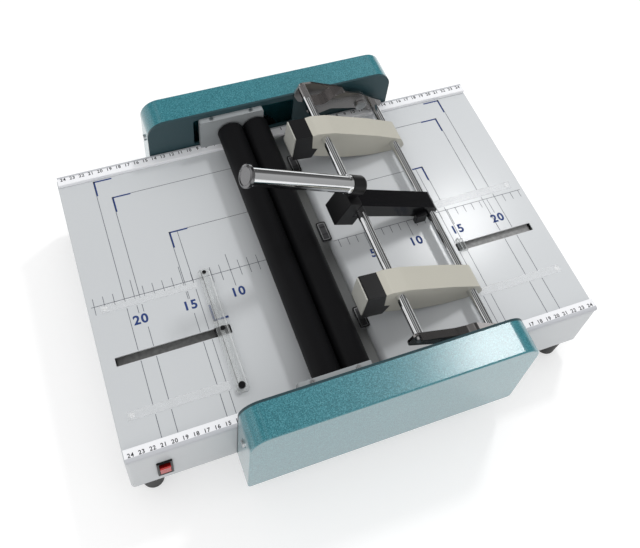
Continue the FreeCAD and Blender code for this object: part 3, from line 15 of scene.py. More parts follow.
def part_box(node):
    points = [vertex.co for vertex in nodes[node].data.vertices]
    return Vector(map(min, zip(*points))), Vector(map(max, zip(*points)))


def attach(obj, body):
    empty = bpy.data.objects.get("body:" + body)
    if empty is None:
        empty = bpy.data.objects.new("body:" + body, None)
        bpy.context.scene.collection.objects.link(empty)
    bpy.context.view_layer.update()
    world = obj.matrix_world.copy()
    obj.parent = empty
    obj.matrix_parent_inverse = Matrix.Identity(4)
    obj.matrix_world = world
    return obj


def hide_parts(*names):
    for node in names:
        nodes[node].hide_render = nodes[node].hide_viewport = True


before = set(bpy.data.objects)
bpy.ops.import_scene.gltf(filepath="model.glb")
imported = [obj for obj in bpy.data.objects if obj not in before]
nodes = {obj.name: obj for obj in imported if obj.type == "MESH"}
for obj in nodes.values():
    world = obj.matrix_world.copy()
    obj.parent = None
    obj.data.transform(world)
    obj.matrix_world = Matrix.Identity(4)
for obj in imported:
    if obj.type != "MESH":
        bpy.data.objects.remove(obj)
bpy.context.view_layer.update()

# %% [markdown]
# Lengths are easier to read in millimetres, but Blender works in metres. One constant turns one into the
# other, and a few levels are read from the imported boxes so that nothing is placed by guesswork.

# %% Units and levels
MM = 0.001
table_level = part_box("base_shell")[1].z
strip_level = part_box("ruler_strip_front")[1].z
print("table top at", round(table_level / MM, 2), "mm, strips at", round(strip_level / MM, 2), "mm")

# %% [markdown]
# Every finish needs the same few steps: a new material, a Principled shader, and a way to join sockets.
# Four small helpers keep the material cells short, so that each shows only what is special about it.

# %% Helpers for materials
def new_finish(name, color, roughness, metallic=0.0):
    """A material with a Principled shader; returns the material, its nodes and the shader."""
    material = bpy.data.materials.new(name)
    material.use_nodes = True
    tree = material.node_tree
    shader = tree.nodes["Principled BSDF"]
    shader.inputs["Base Color"].default_value = (*color, 1)
    shader.inputs["Roughness"].default_value = roughness
    shader.inputs["Metallic"].default_value = metallic
    return material, tree, shader


def name_sockets(group, inputs, outputs):
    """Gives a node group its named inputs and outputs; the one called Color carries a colour."""
    for direction, names in (("INPUT", inputs), ("OUTPUT", outputs)):
        for name in names:
            kind = "NodeSocketColor" if name == "Color" else "NodeSocketFloat"
            group.interface.new_socket(name, in_out=direction, socket_type=kind)


def place_group(tree, group, **values):
    """Puts a node group in a material and sets its named inputs; an underscore stands for a space."""
    node = tree.nodes.new("ShaderNodeGroup")
    node.node_tree = group
    for name, value in values.items():
        node.inputs[name.replace("_", " ")].default_value = value
    return node


def bump_into(tree, shader, height, strength, distance):
    """Feeds a height through a Bump node into the shader's normal."""
    bump = tree.nodes.new("ShaderNodeBump")
    bump.inputs["Strength"].default_value = strength
    bump.inputs["Distance"].default_value = distance
    tree.links.new(height, bump.inputs["Height"])
    tree.links.new(bump.outputs["Normal"], shader.inputs["Normal"])


# %% [markdown]
# Paint, rubber and moulded plastic are never perfectly even. One node group serves them all: a fine noise
# for the grain that light catches, and a wide, slow noise for the slight clouds of tone and gloss that a
# real surface has. It is built once, and each material sets its own scale and strength.

# %% Node group: grain and clouds
def make_surface_group():
    group = bpy.data.node_groups.new("surface_variation", "ShaderNodeTree")
    name_sockets(group, ("Color", "Shade", "Grain Scale", "Cloud Scale", "Gloss Low", "Gloss High"),
                 ("Color", "Roughness", "Height"))
    node = group.nodes.new
    link = group.links.new
    given = node("NodeGroupInput")
    result = node("NodeGroupOutput")
    place = node("ShaderNodeTexCoord")
    grain = node("ShaderNodeTexNoise")
    grain.inputs["Detail"].default_value = 3
    clouds = node("ShaderNodeTexNoise")
    clouds.inputs["Detail"].default_value = 4
    gloss = node("ShaderNodeMapRange")
    darker = node("ShaderNodeHueSaturation")
    shade = node("ShaderNodeMapRange")
    link(place.outputs["Object"], grain.inputs["Vector"])
    link(place.outputs["Object"], clouds.inputs["Vector"])
    link(given.outputs["Grain Scale"], grain.inputs["Scale"])
    link(given.outputs["Cloud Scale"], clouds.inputs["Scale"])
    link(clouds.outputs["Fac"], gloss.inputs["Value"])
    link(given.outputs["Gloss Low"], gloss.inputs["To Min"])
    link(given.outputs["Gloss High"], gloss.inputs["To Max"])
    link(clouds.outputs["Fac"], shade.inputs["Value"])
    link(given.outputs["Shade"], shade.inputs["To Min"])
    shade.inputs["To Max"].default_value = 1.0
    link(shade.outputs["Result"], darker.inputs["Value"])
    link(given.outputs["Color"], darker.inputs["Color"])
    link(darker.outputs["Color"], result.inputs["Color"])
    link(gloss.outputs["Result"], result.inputs["Roughness"])
    link(grain.outputs["Fac"], result.inputs["Height"])
    return group


surface_group = make_surface_group()
print("group:", surface_group.name)

# %% [markdown]
# Ground and drawn steel shows fine parallel lines. Stretching the coordinates of a noise along one axis
# turns its dots into such lines; the group below returns them as a height and as a change of roughness.

# %% Node group: drawn lines on steel
def make_drawn_group():
    group = bpy.data.node_groups.new("drawn_lines", "ShaderNodeTree")
    name_sockets(group, ("Across X", "Across Y", "Across Z", "Gloss Low", "Gloss High"),
                 ("Roughness", "Height"))
    node = group.nodes.new
    link = group.links.new
    given = node("NodeGroupInput")
    result = node("NodeGroupOutput")
    place = node("ShaderNodeTexCoord")
    scales = node("ShaderNodeCombineXYZ")
    stretch = node("ShaderNodeVectorMath")
    stretch.operation = "MULTIPLY"
    lines = node("ShaderNodeTexNoise")
    lines.inputs["Scale"].default_value = 1.0
    lines.inputs["Detail"].default_value = 4
    gloss = node("ShaderNodeMapRange")
    for axis in "XYZ":
        link(given.outputs["Across " + axis], scales.inputs[axis])
    link(place.outputs["Object"], stretch.inputs[0])
    link(scales.outputs["Vector"], stretch.inputs[1])
    link(stretch.outputs["Vector"], lines.inputs["Vector"])
    link(lines.outputs["Fac"], gloss.inputs["Value"])
    link(given.outputs["Gloss Low"], gloss.inputs["To Min"])
    link(given.outputs["Gloss High"], gloss.inputs["To Max"])
    link(gloss.outputs["Result"], result.inputs["Roughness"])
    link(lines.outputs["Fac"], result.inputs["Height"])
    return group


drawn_group = make_drawn_group()
print("group:", drawn_group.name)

# %% [markdown]
# Most finishes are a base colour with grain and clouds over it, so one function makes them. After the colour
# come the lowest and highest roughness, how dark the clouds get, and the scales of grain and clouds in cells
# per metre: 1500 is a grain well under a millimetre, 12 a cloud the width of a hand. The last plain number
# is the strength of the bump.

# %% Painted and moulded finishes
GRAIN_DEPTH = 0.05 * MM
COAT_ROUGHNESS = 0.16


def grained(name, color, low, high, shade, grain, clouds, strength, coat=0.0, shine=0.5):
    """A painted or moulded finish; coat is a clear lacquer and shine the strength of its mirroring."""
    material, tree, shader = new_finish(name, color, low)
    shader.inputs["Coat Weight"].default_value = coat
    shader.inputs["Coat Roughness"].default_value = COAT_ROUGHNESS
    shader.inputs["Specular IOR Level"].default_value = shine
    surface = place_group(tree, surface_group, Color=(*color, 1), Shade=shade, Grain_Scale=grain,
                          Cloud_Scale=clouds, Gloss_Low=low, Gloss_High=high)
    tree.links.new(surface.outputs["Color"], shader.inputs["Base Color"])
    tree.links.new(surface.outputs["Roughness"], shader.inputs["Roughness"])
    bump_into(tree, shader, surface.outputs["Height"], strength, GRAIN_DEPTH)
    return material


table_enamel = grained("table_enamel", (0.585, 0.605, 0.622), 0.4, 0.5, 0.98, 900, 4, 0.06, coat=0.3)
dark_paint = grained("dark_paint", (0.022, 0.06, 0.072), 0.35, 0.5, 0.85, 1300, 14, 0.3)
bracket_paint = grained("bracket_paint", (0.33, 0.35, 0.36), 0.4, 0.55, 0.85, 1500, 30, 0.2)
roller_rubber = grained("roller_rubber", (0.006, 0.006, 0.007), 0.45, 0.58, 0.8, 2500, 20, 0.3, shine=0.15)
foot_rubber = grained("foot_rubber", (0.012, 0.012, 0.012), 0.5, 0.65, 0.8, 2000, 30, 0.3, shine=0.4)
black_plastic = grained("black_plastic", (0.008, 0.008, 0.009), 0.3, 0.42, 0.8, 2200, 40, 0.25, shine=0.25)
black_paint = grained("black_paint", (0.004, 0.004, 0.005), 0.18, 0.28, 0.8, 1800, 25, 0.1, shine=0.25)
beige_enamel = grained("beige_enamel", (0.50, 0.485, 0.42), 0.36, 0.48, 0.95, 1600, 25, 0.12, coat=0.4)
rail_paint = grained("rail_paint", (0.50, 0.50, 0.50), 0.4, 0.6, 0.35, 900, 260, 0.3)
pale_plastic = grained("pale_plastic", (0.50, 0.50, 0.46), 0.4, 0.5, 0.93, 2000, 40, 0.15)
bronze = grained("bronze", (0.42, 0.29, 0.13), 0.35, 0.5, 0.85, 2500, 60, 0.2)
red_plastic = grained("red_plastic", (0.50, 0.012, 0.012), 0.18, 0.3, 0.9, 1500, 60, 0.1)
mark_blue = grained("mark_blue", (0.014, 0.045, 0.20), 0.45, 0.55, 0.9, 2000, 60, 0.05)
mark_grey = grained("mark_grey", (0.045, 0.055, 0.085), 0.45, 0.55, 0.9, 2000, 60, 0.05)
mark_black = grained("mark_black", (0.02, 0.022, 0.03), 0.45, 0.55, 0.9, 2000, 60, 0.05)
print("painted and moulded finishes are ready")

# %% [markdown]
# The ruler strips are white on top, and their rounded outer lip is painted greyer: this grey is painted
# shade.
# The change of tone follows the distance from the middle of the table, so both strips share one material.

# %% Ruler strip enamel
LIP_START = 159.2 * MM
LIP_FADE = 0.5 * MM
# The grey below is painted shade on the strips' outer lip, not a colour of the strip.
LIP_SHADE_GREY = (0.52, 0.53, 0.56, 1)


def make_strip_enamel():
    material, tree, shader = new_finish("strip_enamel", (0.9, 0.9, 0.92), 0.38)
    surface = place_group(tree, surface_group, Color=(0.9, 0.905, 0.93, 1), Shade=0.98, Grain_Scale=900.0,
                          Cloud_Scale=6.0, Gloss_Low=0.35, Gloss_High=0.45)
    place = tree.nodes.new("ShaderNodeTexCoord")
    parts = tree.nodes.new("ShaderNodeSeparateXYZ")
    away = tree.nodes.new("ShaderNodeMath")
    away.operation = "ABSOLUTE"
    # This mask paints shade onto the outer lip of both strips.
    lip_shade = tree.nodes.new("ShaderNodeMapRange")
    lip_shade.inputs["From Min"].default_value = LIP_START
    lip_shade.inputs["From Max"].default_value = LIP_START + LIP_FADE
    tones = tree.nodes.new("ShaderNodeMix")
    tones.data_type = "RGBA"
    tones.inputs["B"].default_value = LIP_SHADE_GREY
    tree.links.new(place.outputs["Object"], parts.inputs["Vector"])
    tree.links.new(parts.outputs["Y"], away.inputs[0])
    tree.links.new(away.outputs["Value"], lip_shade.inputs["Value"])
    tree.links.new(lip_shade.outputs["Result"], tones.inputs["Factor"])
    tree.links.new(surface.outputs["Color"], tones.inputs["A"])
    tree.links.new(tones.outputs["Result"], shader.inputs["Base Color"])
    tree.links.new(surface.outputs["Roughness"], shader.inputs["Roughness"])
    bump_into(tree, shader, surface.outputs["Height"], 0.05, GRAIN_DEPTH)
    return material


strip_enamel = make_strip_enamel()
print("made", strip_enamel.name)

# %% [markdown]
# The end housings have a hammered paint: it dries in small dimples, speckled lighter and darker, under a
# glossy skin. A Voronoi texture gives the dimples as a bump, and a noise gives the speckle of colour.

# %% Hammered teal paint
HAMMER_CELLS = 900.0
SPECKLE_SCALE = HAMMER_CELLS * 1.3
HAMMER_DEPTH = 0.2 * MM
HAMMER_COAT_ROUGHNESS = 0.2
TEAL_DARK = (0.010, 0.10, 0.125, 1)
TEAL_MIDDLE = (0.024, 0.185, 0.225, 1)
TEAL_LIGHT = (0.10, 0.34, 0.39, 1)
DARK_BELOW = 0.30
LIGHT_ABOVE = 0.72


def make_hammer_paint():
    material, tree, shader = new_finish("hammer_paint", TEAL_MIDDLE[:3], 0.3)
    shader.inputs["Coat Weight"].default_value = 1.0
    shader.inputs["Coat Roughness"].default_value = HAMMER_COAT_ROUGHNESS
    place = tree.nodes.new("ShaderNodeTexCoord")
    cells = tree.nodes.new("ShaderNodeTexVoronoi")
    cells.inputs["Scale"].default_value = HAMMER_CELLS
    speckle = tree.nodes.new("ShaderNodeTexNoise")
    speckle.inputs["Scale"].default_value = SPECKLE_SCALE
    speckle.inputs["Detail"].default_value = 5
    tones = tree.nodes.new("ShaderNodeValToRGB")
    dark, light = tones.color_ramp.elements
    dark.position = DARK_BELOW
    dark.color = TEAL_DARK
    light.position = LIGHT_ABOVE
    light.color = TEAL_LIGHT
    tones.color_ramp.elements.new(0.5).color = TEAL_MIDDLE
    tree.links.new(place.outputs["Object"], cells.inputs["Vector"])
    tree.links.new(place.outputs["Object"], speckle.inputs["Vector"])
    tree.links.new(speckle.outputs["Fac"], tones.inputs["Fac"])
    tree.links.new(tones.outputs["Color"], shader.inputs["Base Color"])
    bump_into(tree, shader, cells.outputs["Distance"], 0.25, HAMMER_DEPTH)
    return material


hammer_paint = make_hammer_paint()
print("made", hammer_paint.name)

# %% [markdown]
# Bare metal is metallic with little colour of its own. Zinc-plated sheet is dull, ground steel is finer,
# and chrome is almost a mirror; the drawn lines run along each piece, so each finish says which way.

# %% Metals
LINE_DEPTH = 0.04 * MM


def drawn_metal(name, color, low, high, across, strength=0.1):
    """A metal with drawn lines; across gives the lines per metre met along X, Y and Z."""
    material, tree, shader = new_finish(name, color, low, 1.0)
    lines = place_group(tree, drawn_group, Across_X=across[0], Across_Y=across[1], Across_Z=across[2],
                        Gloss_Low=low, Gloss_High=high)
    tree.links.new(lines.outputs["Roughness"], shader.inputs["Roughness"])
    bump_into(tree, shader, lines.outputs["Height"], strength, LINE_DEPTH)
    return material


bright_steel = drawn_metal("bright_steel", (0.62, 0.63, 0.64), 0.22, 0.36, (1500, 40, 1500))
zinc_plate = drawn_metal("zinc_plate", (0.50, 0.51, 0.53), 0.34, 0.5, (300, 60, 300), 0.15)
aluminium = drawn_metal("aluminium", (0.68, 0.69, 0.70), 0.28, 0.42, (1200, 30, 1200))
pressed_steel = drawn_metal("pressed_steel", (0.36, 0.345, 0.34), 0.10, 0.18, (160, 40, 160), 0.12)
rail_steel = drawn_metal("rail_steel", (0.40, 0.41, 0.41), 0.3, 0.45, (900, 40, 900), 0.15)
spring_steel = drawn_metal("spring_steel", (0.20, 0.20, 0.21), 0.25, 0.4, (900, 60, 900))
knob_steel = drawn_metal("knob_steel", (0.20, 0.20, 0.205), 0.18, 0.3, (900, 900, 60), 0.05)
chrome = drawn_metal("chrome", (0.80, 0.81, 0.82), 0.04, 0.1, (500, 20, 500), 0.02)
print("metals are ready")

# %% [markdown]
# The paper slides over four milky ribs, and the left stop is a clear bar. What lies behind them shows
# through, so both are partly see-through: the alpha is low where the eye looks straight in and rises
# towards the edges, where real plastic gathers light. Rays that only test for shadow see almost nothing.

# %% Clear plastic
SHADOW_SHARE = 0.15


def make_clear_plastic(name, color, face_alpha, edge_alpha, low, high):
    """See-through plastic; low and high are the limits of its roughness."""
    material, tree, shader = new_finish(name, color, low)
    surface = place_group(tree, surface_group, Color=(*color, 1), Shade=0.97, Grain_Scale=4000.0,
                          Cloud_Scale=60.0, Gloss_Low=low, Gloss_High=high)
    facing = tree.nodes.new("ShaderNodeLayerWeight")
    alpha = tree.nodes.new("ShaderNodeMapRange")
    alpha.inputs["To Min"].default_value = face_alpha
    alpha.inputs["To Max"].default_value = edge_alpha
    path = tree.nodes.new("ShaderNodeLightPath")
    lighter = tree.nodes.new("ShaderNodeMapRange")
    lighter.inputs["To Min"].default_value = 1.0
    lighter.inputs["To Max"].default_value = SHADOW_SHARE
    both = tree.nodes.new("ShaderNodeMath")
    both.operation = "MULTIPLY"
    tree.links.new(facing.outputs["Facing"], alpha.inputs["Value"])
    tree.links.new(path.outputs["Is Shadow Ray"], lighter.inputs["Value"])
    tree.links.new(alpha.outputs["Result"], both.inputs[0])
    tree.links.new(lighter.outputs["Result"], both.inputs[1])
    tree.links.new(both.outputs["Value"], shader.inputs["Alpha"])
    tree.links.new(surface.outputs["Color"], shader.inputs["Base Color"])
    tree.links.new(surface.outputs["Roughness"], shader.inputs["Roughness"])
    bump_into(tree, shader, surface.outputs["Height"], 0.01, GRAIN_DEPTH)
    return material


milky_plastic = make_clear_plastic("milky_plastic", (0.84, 0.85, 0.86), 0.15, 0.45, 0.45, 0.55)
clear_plastic = make_clear_plastic("clear_plastic", (0.62, 0.64, 0.64), 0.1, 0.8, 0.06, 0.18)
# This smoky plastic only draws painted shade: the dark line along the web of the clear bar.
shade_line_plastic = make_clear_plastic("shade_line_plastic", (0.16, 0.16, 0.16), 0.4, 0.8, 0.1, 0.2)
# This white plastic makes the rib rivets, and on the clear bar it draws a painted highlight.
rivet_and_highlight_plastic = make_clear_plastic("rivet_and_highlight_plastic", (0.92, 0.93, 0.93), 0.25, 0.6, 0.1, 0.2)
print("clear plastics are ready")

# %% [markdown]
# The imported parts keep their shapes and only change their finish. A dictionary says which finish belongs to
# which part, and the loop gives it to the part in place of the plain one that it came with.

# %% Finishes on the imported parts
finish_of = {
    "base_shell": table_enamel, "bottom_plate": zinc_plate, "rubber_feet": foot_rubber,
    "ruler_strip_front": strip_enamel, "ruler_strip_rear": strip_enamel, "glide_ribs": milky_plastic,
    "side_plate_front": dark_paint, "side_plate_rear": dark_paint, "cover_front": hammer_paint,
    "cover_rear": hammer_paint, "housing_screws": bright_steel, "bearing_bracket_front": bracket_paint,
    "bearing_bracket_rear": bracket_paint, "bracket_screws": bright_steel, "roller_bushes": bronze,
    "left_roller": roller_rubber, "left_roller_shaft": bright_steel, "right_roller": roller_rubber,
    "right_roller_shaft": bright_steel, "left_roller_gear": black_plastic, "right_roller_gear": black_plastic,
    "drive_gear": black_plastic, "gear_motor": zinc_plate, "drive_shaft": bright_steel,
    "fold_knife": bright_steel, "knife_carrier": aluminium, "knife_posts": bright_steel,
    "lift_shaft": bright_steel, "lift_arms": zinc_plate, "lift_brackets": zinc_plate,
    "anvil_rail": rail_steel, "anvil_beam": zinc_plate, "anvil_inserts": spring_steel,
    "rod_a": chrome, "rod_b": chrome, "pivot_pins": bright_steel, "swing_arm_front": pressed_steel,
    "swing_arm_rear": pressed_steel, "return_springs": spring_steel, "press_arm": black_paint,
    "handle_block": black_plastic, "handle_tube": chrome, "handle_knob": knob_steel,
    "handle_socket": black_plastic, "rear_stapler_nose": black_plastic, "rear_stapler_plate": pale_plastic,
    "rear_stapler_body": beige_enamel, "rear_stapler_magazine": zinc_plate,
    "front_stapler_nose": black_plastic, "front_stapler_plate": pale_plastic,
    "front_stapler_body": beige_enamel, "front_stapler_magazine": zinc_plate,
    "left_stop_slider": black_plastic, "left_stop_bar": clear_plastic, "left_stop_screws": black_plastic,
    "right_stop_slider": black_plastic, "right_stop_fence": clear_plastic, "switch_frame": black_plastic,
    "switch_rocker": red_plastic, "power_inlet": black_plastic,
}
for name, node in nodes.items():
    node.data.materials.clear()
    node.data.materials.append(finish_of[name])
print("finished parts:", len(nodes))

# %% [markdown]
# Painted steel and moulded plastic never have perfectly sharp corners. A narrow bevel on the darkest parts
# lets their edges catch the light, which is what makes a black shape readable.

# %% Soft edges on the dark parts
EDGE_WIDTH = 0.8 * MM
SHARP_ANGLE = math.radians(40)
for name in ("press_arm", "handle_block", "front_stapler_nose", "rear_stapler_nose"):
    edge = nodes[name].modifiers.new("soft_edges", "BEVEL")
    edge.width = EDGE_WIDTH
    edge.segments = 2
    edge.limit_method = "ANGLE"
    edge.angle_limit = SHARP_ANGLE
print("bevel of", EDGE_WIDTH / MM, "mm")

# %% [markdown]
# The marks on the table are printed. Paint has almost no height, so each mark is a thin slab a few
# hundredths of a millimetre above the table. Bars and numbers of one colour are joined in one mesh.

# %% Helpers for printed marks
PRINT_LIFT = 0.03 * MM
PRINT_THICK = 0.05 * MM
PRINT_MIDDLE = PRINT_LIFT + PRINT_THICK / 2
FONT_SIZE_TO_HEIGHT = 1.4
LETTER_SPACING = 1.15


def add_bar(mesh, x_low, x_high, y_low, y_high, level):
    """Adds one thin slab to a bmesh, sizes in millimetres and level in metres."""
    size = Matrix.Diagonal(((x_high - x_low) * MM, (y_high - y_low) * MM, PRINT_THICK, 1))
    middle = Vector(((x_low + x_high) / 2 * MM, (y_low + y_high) / 2 * MM, level + PRINT_MIDDLE))
    bmesh.ops.create_cube(mesh, size=1.0, matrix=Matrix.Translation(middle) @ size)


def add_number(mesh, text, x, y, level, height, weight):
    """Adds a printed number, centred on x and y; weight thickens its strokes, all in millimetres."""
    curve = bpy.data.curves.new("number", "FONT")
    curve.body = text
    curve.size = height * FONT_SIZE_TO_HEIGHT * MM
    curve.align_x = "CENTER"
    curve.align_y = "CENTER"
    curve.extrude = PRINT_THICK / 2
    curve.offset = weight * MM
    curve.space_character = LETTER_SPACING
    holder = bpy.data.objects.new("number", curve)
    outline = bpy.data.meshes.new_from_object(holder)
    outline.transform(Matrix.Translation((x * MM, y * MM, level + PRINT_MIDDLE)))
    mesh.from_mesh(outline)
    bpy.data.objects.remove(holder)
    bpy.data.curves.remove(curve)
    bpy.data.meshes.remove(outline)


def finish_print(mesh, name, material, body="base"):
    """Turns a bmesh of marks into one piece that rides on a body."""
    data = bpy.data.meshes.new(name)
    mesh.to_mesh(data)
    mesh.free()
    data.materials.append(material)
    piece = bpy.data.objects.new(name, data)
    bpy.context.scene.collection.objects.link(piece)
    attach(piece, body)
    return piece


print("marks are", round(PRINT_THICK / MM, 2), "mm thick")

# %% [markdown]
# Sheets are drawn as bold corners, with thin lines running down to the front strip. They are 420 by 297 mm,
# 390 by 246 mm and 297 by 123 mm, each given by half its length and half its width, because the fold line
# runs through its middle. The lines stop where a rib or a slot crosses them, and on the left the inner two
# step round the numbers of the scale. A rear line is drawn where it lies clear of the rear strip.

# %% Sheet outlines
LEFT, RIGHT = -1, 1
FRONT_EDGE = -149.6
LINE = 0.5
BOLD = 1.7
CORNER_ARM = 20.0
SHEET_CORNERS = [(210.0, 148.5), (195.0, 122.8), (148.5, 61.5)]
INNER_LINE = 139.7
ROLLER_EDGE = 60.0
RIB_GAPS = {LEFT: [(-126.0, -116.5), (-12.2, -4.9)], RIGHT: [(-111.0, -102.0), (2.5, 12.5)]}
NUMBER_GAP = (-38.0, -21.0)
NUMBERS_REACH = 200.0
SLOT_GAPS = {LEFT: (-70.5, -59.5), RIGHT: (-55.0, -44.0)}
CLEAR_OF_STRIP = 140.0


def line_down(mesh, side, x, rear, gaps):
    """Adds a thin line from a sheet's rear corner to the front strip, broken at the gaps."""
    start = FRONT_EDGE
    for low, high in sorted(gaps) + [(rear, rear)]:
        add_bar(mesh, side * x - LINE / 2, side * x + LINE / 2, start, low, table_level)
        start = high


thin = bmesh.new()
bold = bmesh.new()
for side in (LEFT, RIGHT):
    gaps = RIB_GAPS[side] + [SLOT_GAPS[side]]
    for x, y in SHEET_CORNERS:
        number_gaps = [NUMBER_GAP] if side == LEFT and x < NUMBERS_REACH else []
        line_down(thin, side, x, y, gaps + number_gaps)
        across = sorted((side * x, side * (x - CORNER_ARM)))
        add_bar(bold, across[0], across[1], y - BOLD, y, table_level)
        upright = sorted((side * x, side * (x - BOLD)))
        add_bar(bold, upright[0], upright[1], y - CORNER_ARM, y, table_level)
        inner = sorted((side * (x - CORNER_ARM), side * ROLLER_EDGE))
        if y < CLEAR_OF_STRIP:
            add_bar(thin, inner[0], inner[1], y - LINE, y, table_level)
    line_down(thin, side, INNER_LINE, SHEET_CORNERS[-1][1], gaps)
print("outlines:", len(SHEET_CORNERS), "sheets on each side")

# %% [markdown]
# One small corner stands by itself on the left and is turned the other way. A thin line along the front strip
# closes the largest outline.

# %% Small corner and front line
SMALL_X, SMALL_Y = -133.3, -52.9
SMALL_ARM = 16.0
SMALL_RISE = 19.0
SMALL_BOLD = 2.4
WIDEST = SHEET_CORNERS[0][0]
add_bar(bold, SMALL_X, SMALL_X + SMALL_BOLD, SMALL_Y, SMALL_Y + SMALL_RISE, table_level)
add_bar(bold, SMALL_X, SMALL_X + SMALL_ARM, SMALL_Y, SMALL_Y + SMALL_BOLD, table_level)
add_bar(thin, -WIDEST, WIDEST, FRONT_EDGE - LINE, FRONT_EDGE, table_level)
print("small corner at", SMALL_X, SMALL_Y, "mm")

# %% [markdown]
# A centimetre scale crosses the middle of the table, with longer ticks and numbers every five. It counts
# outwards from the fold line, and the rollers cover the left ticks below 6. Ticks that cross the left rib are
# broken there, and the short ones start behind it. The right rib lies right behind the scale, so the ticks
# on that side point forward only.

# %% Middle scale
SCALE_ROW = -1.5
SCALE_START_RIGHT = 14.5
SCALE_END = 243.0
TICK = 9.3
LONG_TICK = 19.5
NUMBER_ROW = -28.5
NUMBER_HEIGHT = 9.8
NUMBER_WEIGHT = 0.42
RIB_SPAN = (124.0, 236.0)
CENTIMETRE = 10
LAST_MARK = 24
SCALE_NUMBERS = {LEFT: (10, 15, 20), RIGHT: (10, 15, 20, 5)}
for side in (LEFT, RIGHT):
    scale_start = ROLLER_EDGE if side == LEFT else SCALE_START_RIGHT
    ends = sorted((side * scale_start, side * SCALE_END))
    add_bar(thin, ends[0], ends[1], SCALE_ROW - LINE / 2, SCALE_ROW + LINE / 2, table_level)
    for mark in range(2, LAST_MARK + 1):
        away = mark * CENTIMETRE
        x = side * away
        is_long = mark % 5 == 0
        length = LONG_TICK if is_long else TICK
        low, high = SCALE_ROW - length, SCALE_ROW + (length if side == LEFT else 0)
        if side == LEFT and away < ROLLER_EDGE:
            continue
        if side == LEFT and RIB_SPAN[0] < away < RIB_SPAN[1]:
            rib_front, rib_rear = RIB_GAPS[LEFT][1]
            if is_long:
                add_bar(thin, x - LINE / 2, x + LINE / 2, low, rib_front, table_level)
            low = rib_rear
        add_bar(thin, x - LINE / 2, x + LINE / 2, low, high, table_level)
    for mark in SCALE_NUMBERS[side]:
        add_number(bold, str(mark), side * mark * CENTIMETRE, NUMBER_ROW, table_level, NUMBER_HEIGHT,
                   NUMBER_WEIGHT)
finish_print(thin, "printed_lines", mark_grey)
finish_print(bold, "printed_corners", mark_blue)
print("scale ticks every", CENTIMETRE, "mm")

# %% [markdown]
# Both edge strips carry small black numbers, one every centimetre, read from the front of the machine.

# %% Numbers on the strips
STRIP_ROW = 157.3
SMALL_HEIGHT = 3.9
SMALL_WEIGHT = 0.12
small = bmesh.new()
for row in (-STRIP_ROW, STRIP_ROW):
    for mark in range(1, LAST_MARK + 1):
        for side in (LEFT, RIGHT):
            add_number(small, str(mark), side * mark * CENTIMETRE, row, strip_level, SMALL_HEIGHT,
                       SMALL_WEIGHT)
finish_print(small, "strip_numbers", mark_black)
print("strip numbers:", LAST_MARK * 4)

# %% [markdown]
# The next small pieces are turned or cut from sheet. One helper adds a block with rounded edges, another a
# turned shape from a profile of radius and height, so that each piece is only a few numbers. Their faces may
# point either way, so the last helper turns all of them outwards before it finishes the piece.

# %% Helpers for small hardware
def add_block(mesh, low, high, rounding):
    """Adds a block between two corners, in millimetres, with rounded edges."""
    spans = (Vector(high) - Vector(low)) * MM
    size = Matrix.Diagonal((*spans, 1))
    middle = (Vector(low) + Vector(high)) / 2 * MM
    made = bmesh.ops.create_cube(mesh, size=1.0, matrix=Matrix.Translation(middle) @ size)
    edges = {edge for vert in made["verts"] for edge in vert.link_edges}
    bmesh.ops.bevel(mesh, geom=list(edges), offset=rounding * MM, segments=2, affect="EDGES", profile=0.5)


def join_loops(mesh, first, second):
    """Joins two closed loops of points with a band of faces."""
    for step in range(len(first)):
        after = (step + 1) % len(first)
        mesh.faces.new((first[step], first[after], second[after], second[step]))


def add_turned(mesh, x, y, profile, steps=24):
    """Adds a shape turned about a vertical line, from (radius, height) pairs in millimetres."""
    turns = [2 * math.pi * step / steps for step in range(steps)]
    rings = []
    for radius, height in profile:
        ring = [(x + radius * math.cos(turn), y + radius * math.sin(turn), height) for turn in turns]
        rings.append([mesh.verts.new([part * MM for part in point]) for point in ring])
    for lower, upper in zip(rings, rings[1:]):
        join_loops(mesh, lower, upper)
    mesh.faces.new(rings[0][::-1])
    mesh.faces.new(rings[-1])


def finish_piece(mesh, name, material, body="base"):
    """Turns the faces outwards, then does what finish_print does."""
    bmesh.ops.recalc_face_normals(mesh, faces=mesh.faces)
    return finish_print(mesh, name, material, body)


table_height = table_level / MM
print("small hardware stands on the table at", round(table_height, 2), "mm")

# %% [markdown]
# The paper glides on four milky ribs with softly rounded edges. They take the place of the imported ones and
# float a hair above the table, and a small rivet with a bright rim holds each outer end.

# %% Glide ribs
RIB_ENDS = (137.0, 235.0)
RIB_FRONTS = [(LEFT, -11.2), (LEFT, -125.2), (RIGHT, 3.2), (RIGHT, -110.8)]
RIB_WIDTH = 9.0
RIB_HEIGHT = 1.1
RIB_LIFT = 0.05
RIB_ROUNDING = 0.4
RIVET_FROM_END = 4.5
RIVET_PROFILE = [(2.6, -0.2), (2.6, 0.15), (2.1, 0.4), (1.6, 0.15), (0.6, 0.1)]
rib_bottom = table_height + RIB_LIFT
rib_top = table_height + RIB_HEIGHT
rivet_profile = [(radius, rib_top + height) for radius, height in RIVET_PROFILE]
clear = bmesh.new()
rivets = bmesh.new()
for side, front in RIB_FRONTS:
    left, right = sorted((side * RIB_ENDS[0], side * RIB_ENDS[1]))
    add_block(clear, (left, front, rib_bottom), (right, front + RIB_WIDTH, rib_top), RIB_ROUNDING)
    add_turned(rivets, side * (RIB_ENDS[1] - RIVET_FROM_END), front + RIB_WIDTH / 2, rivet_profile)
rib_piece = finish_piece(clear, "glide_ribs_clear", milky_plastic)
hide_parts("glide_ribs")
finish_piece(rivets, "rib_rivets", rivet_and_highlight_plastic)
print("ribs:", len(RIB_FRONTS))

# %% [markdown]
# Through the two slots one sees the folded rails that the stops slide on: a flat floor and a wall behind it.
# The right one lies just under the table and looks light; the left one lies deeper, in shadow. Each is given
# by its left and right end, its front and rear edge, and its depth under the table.

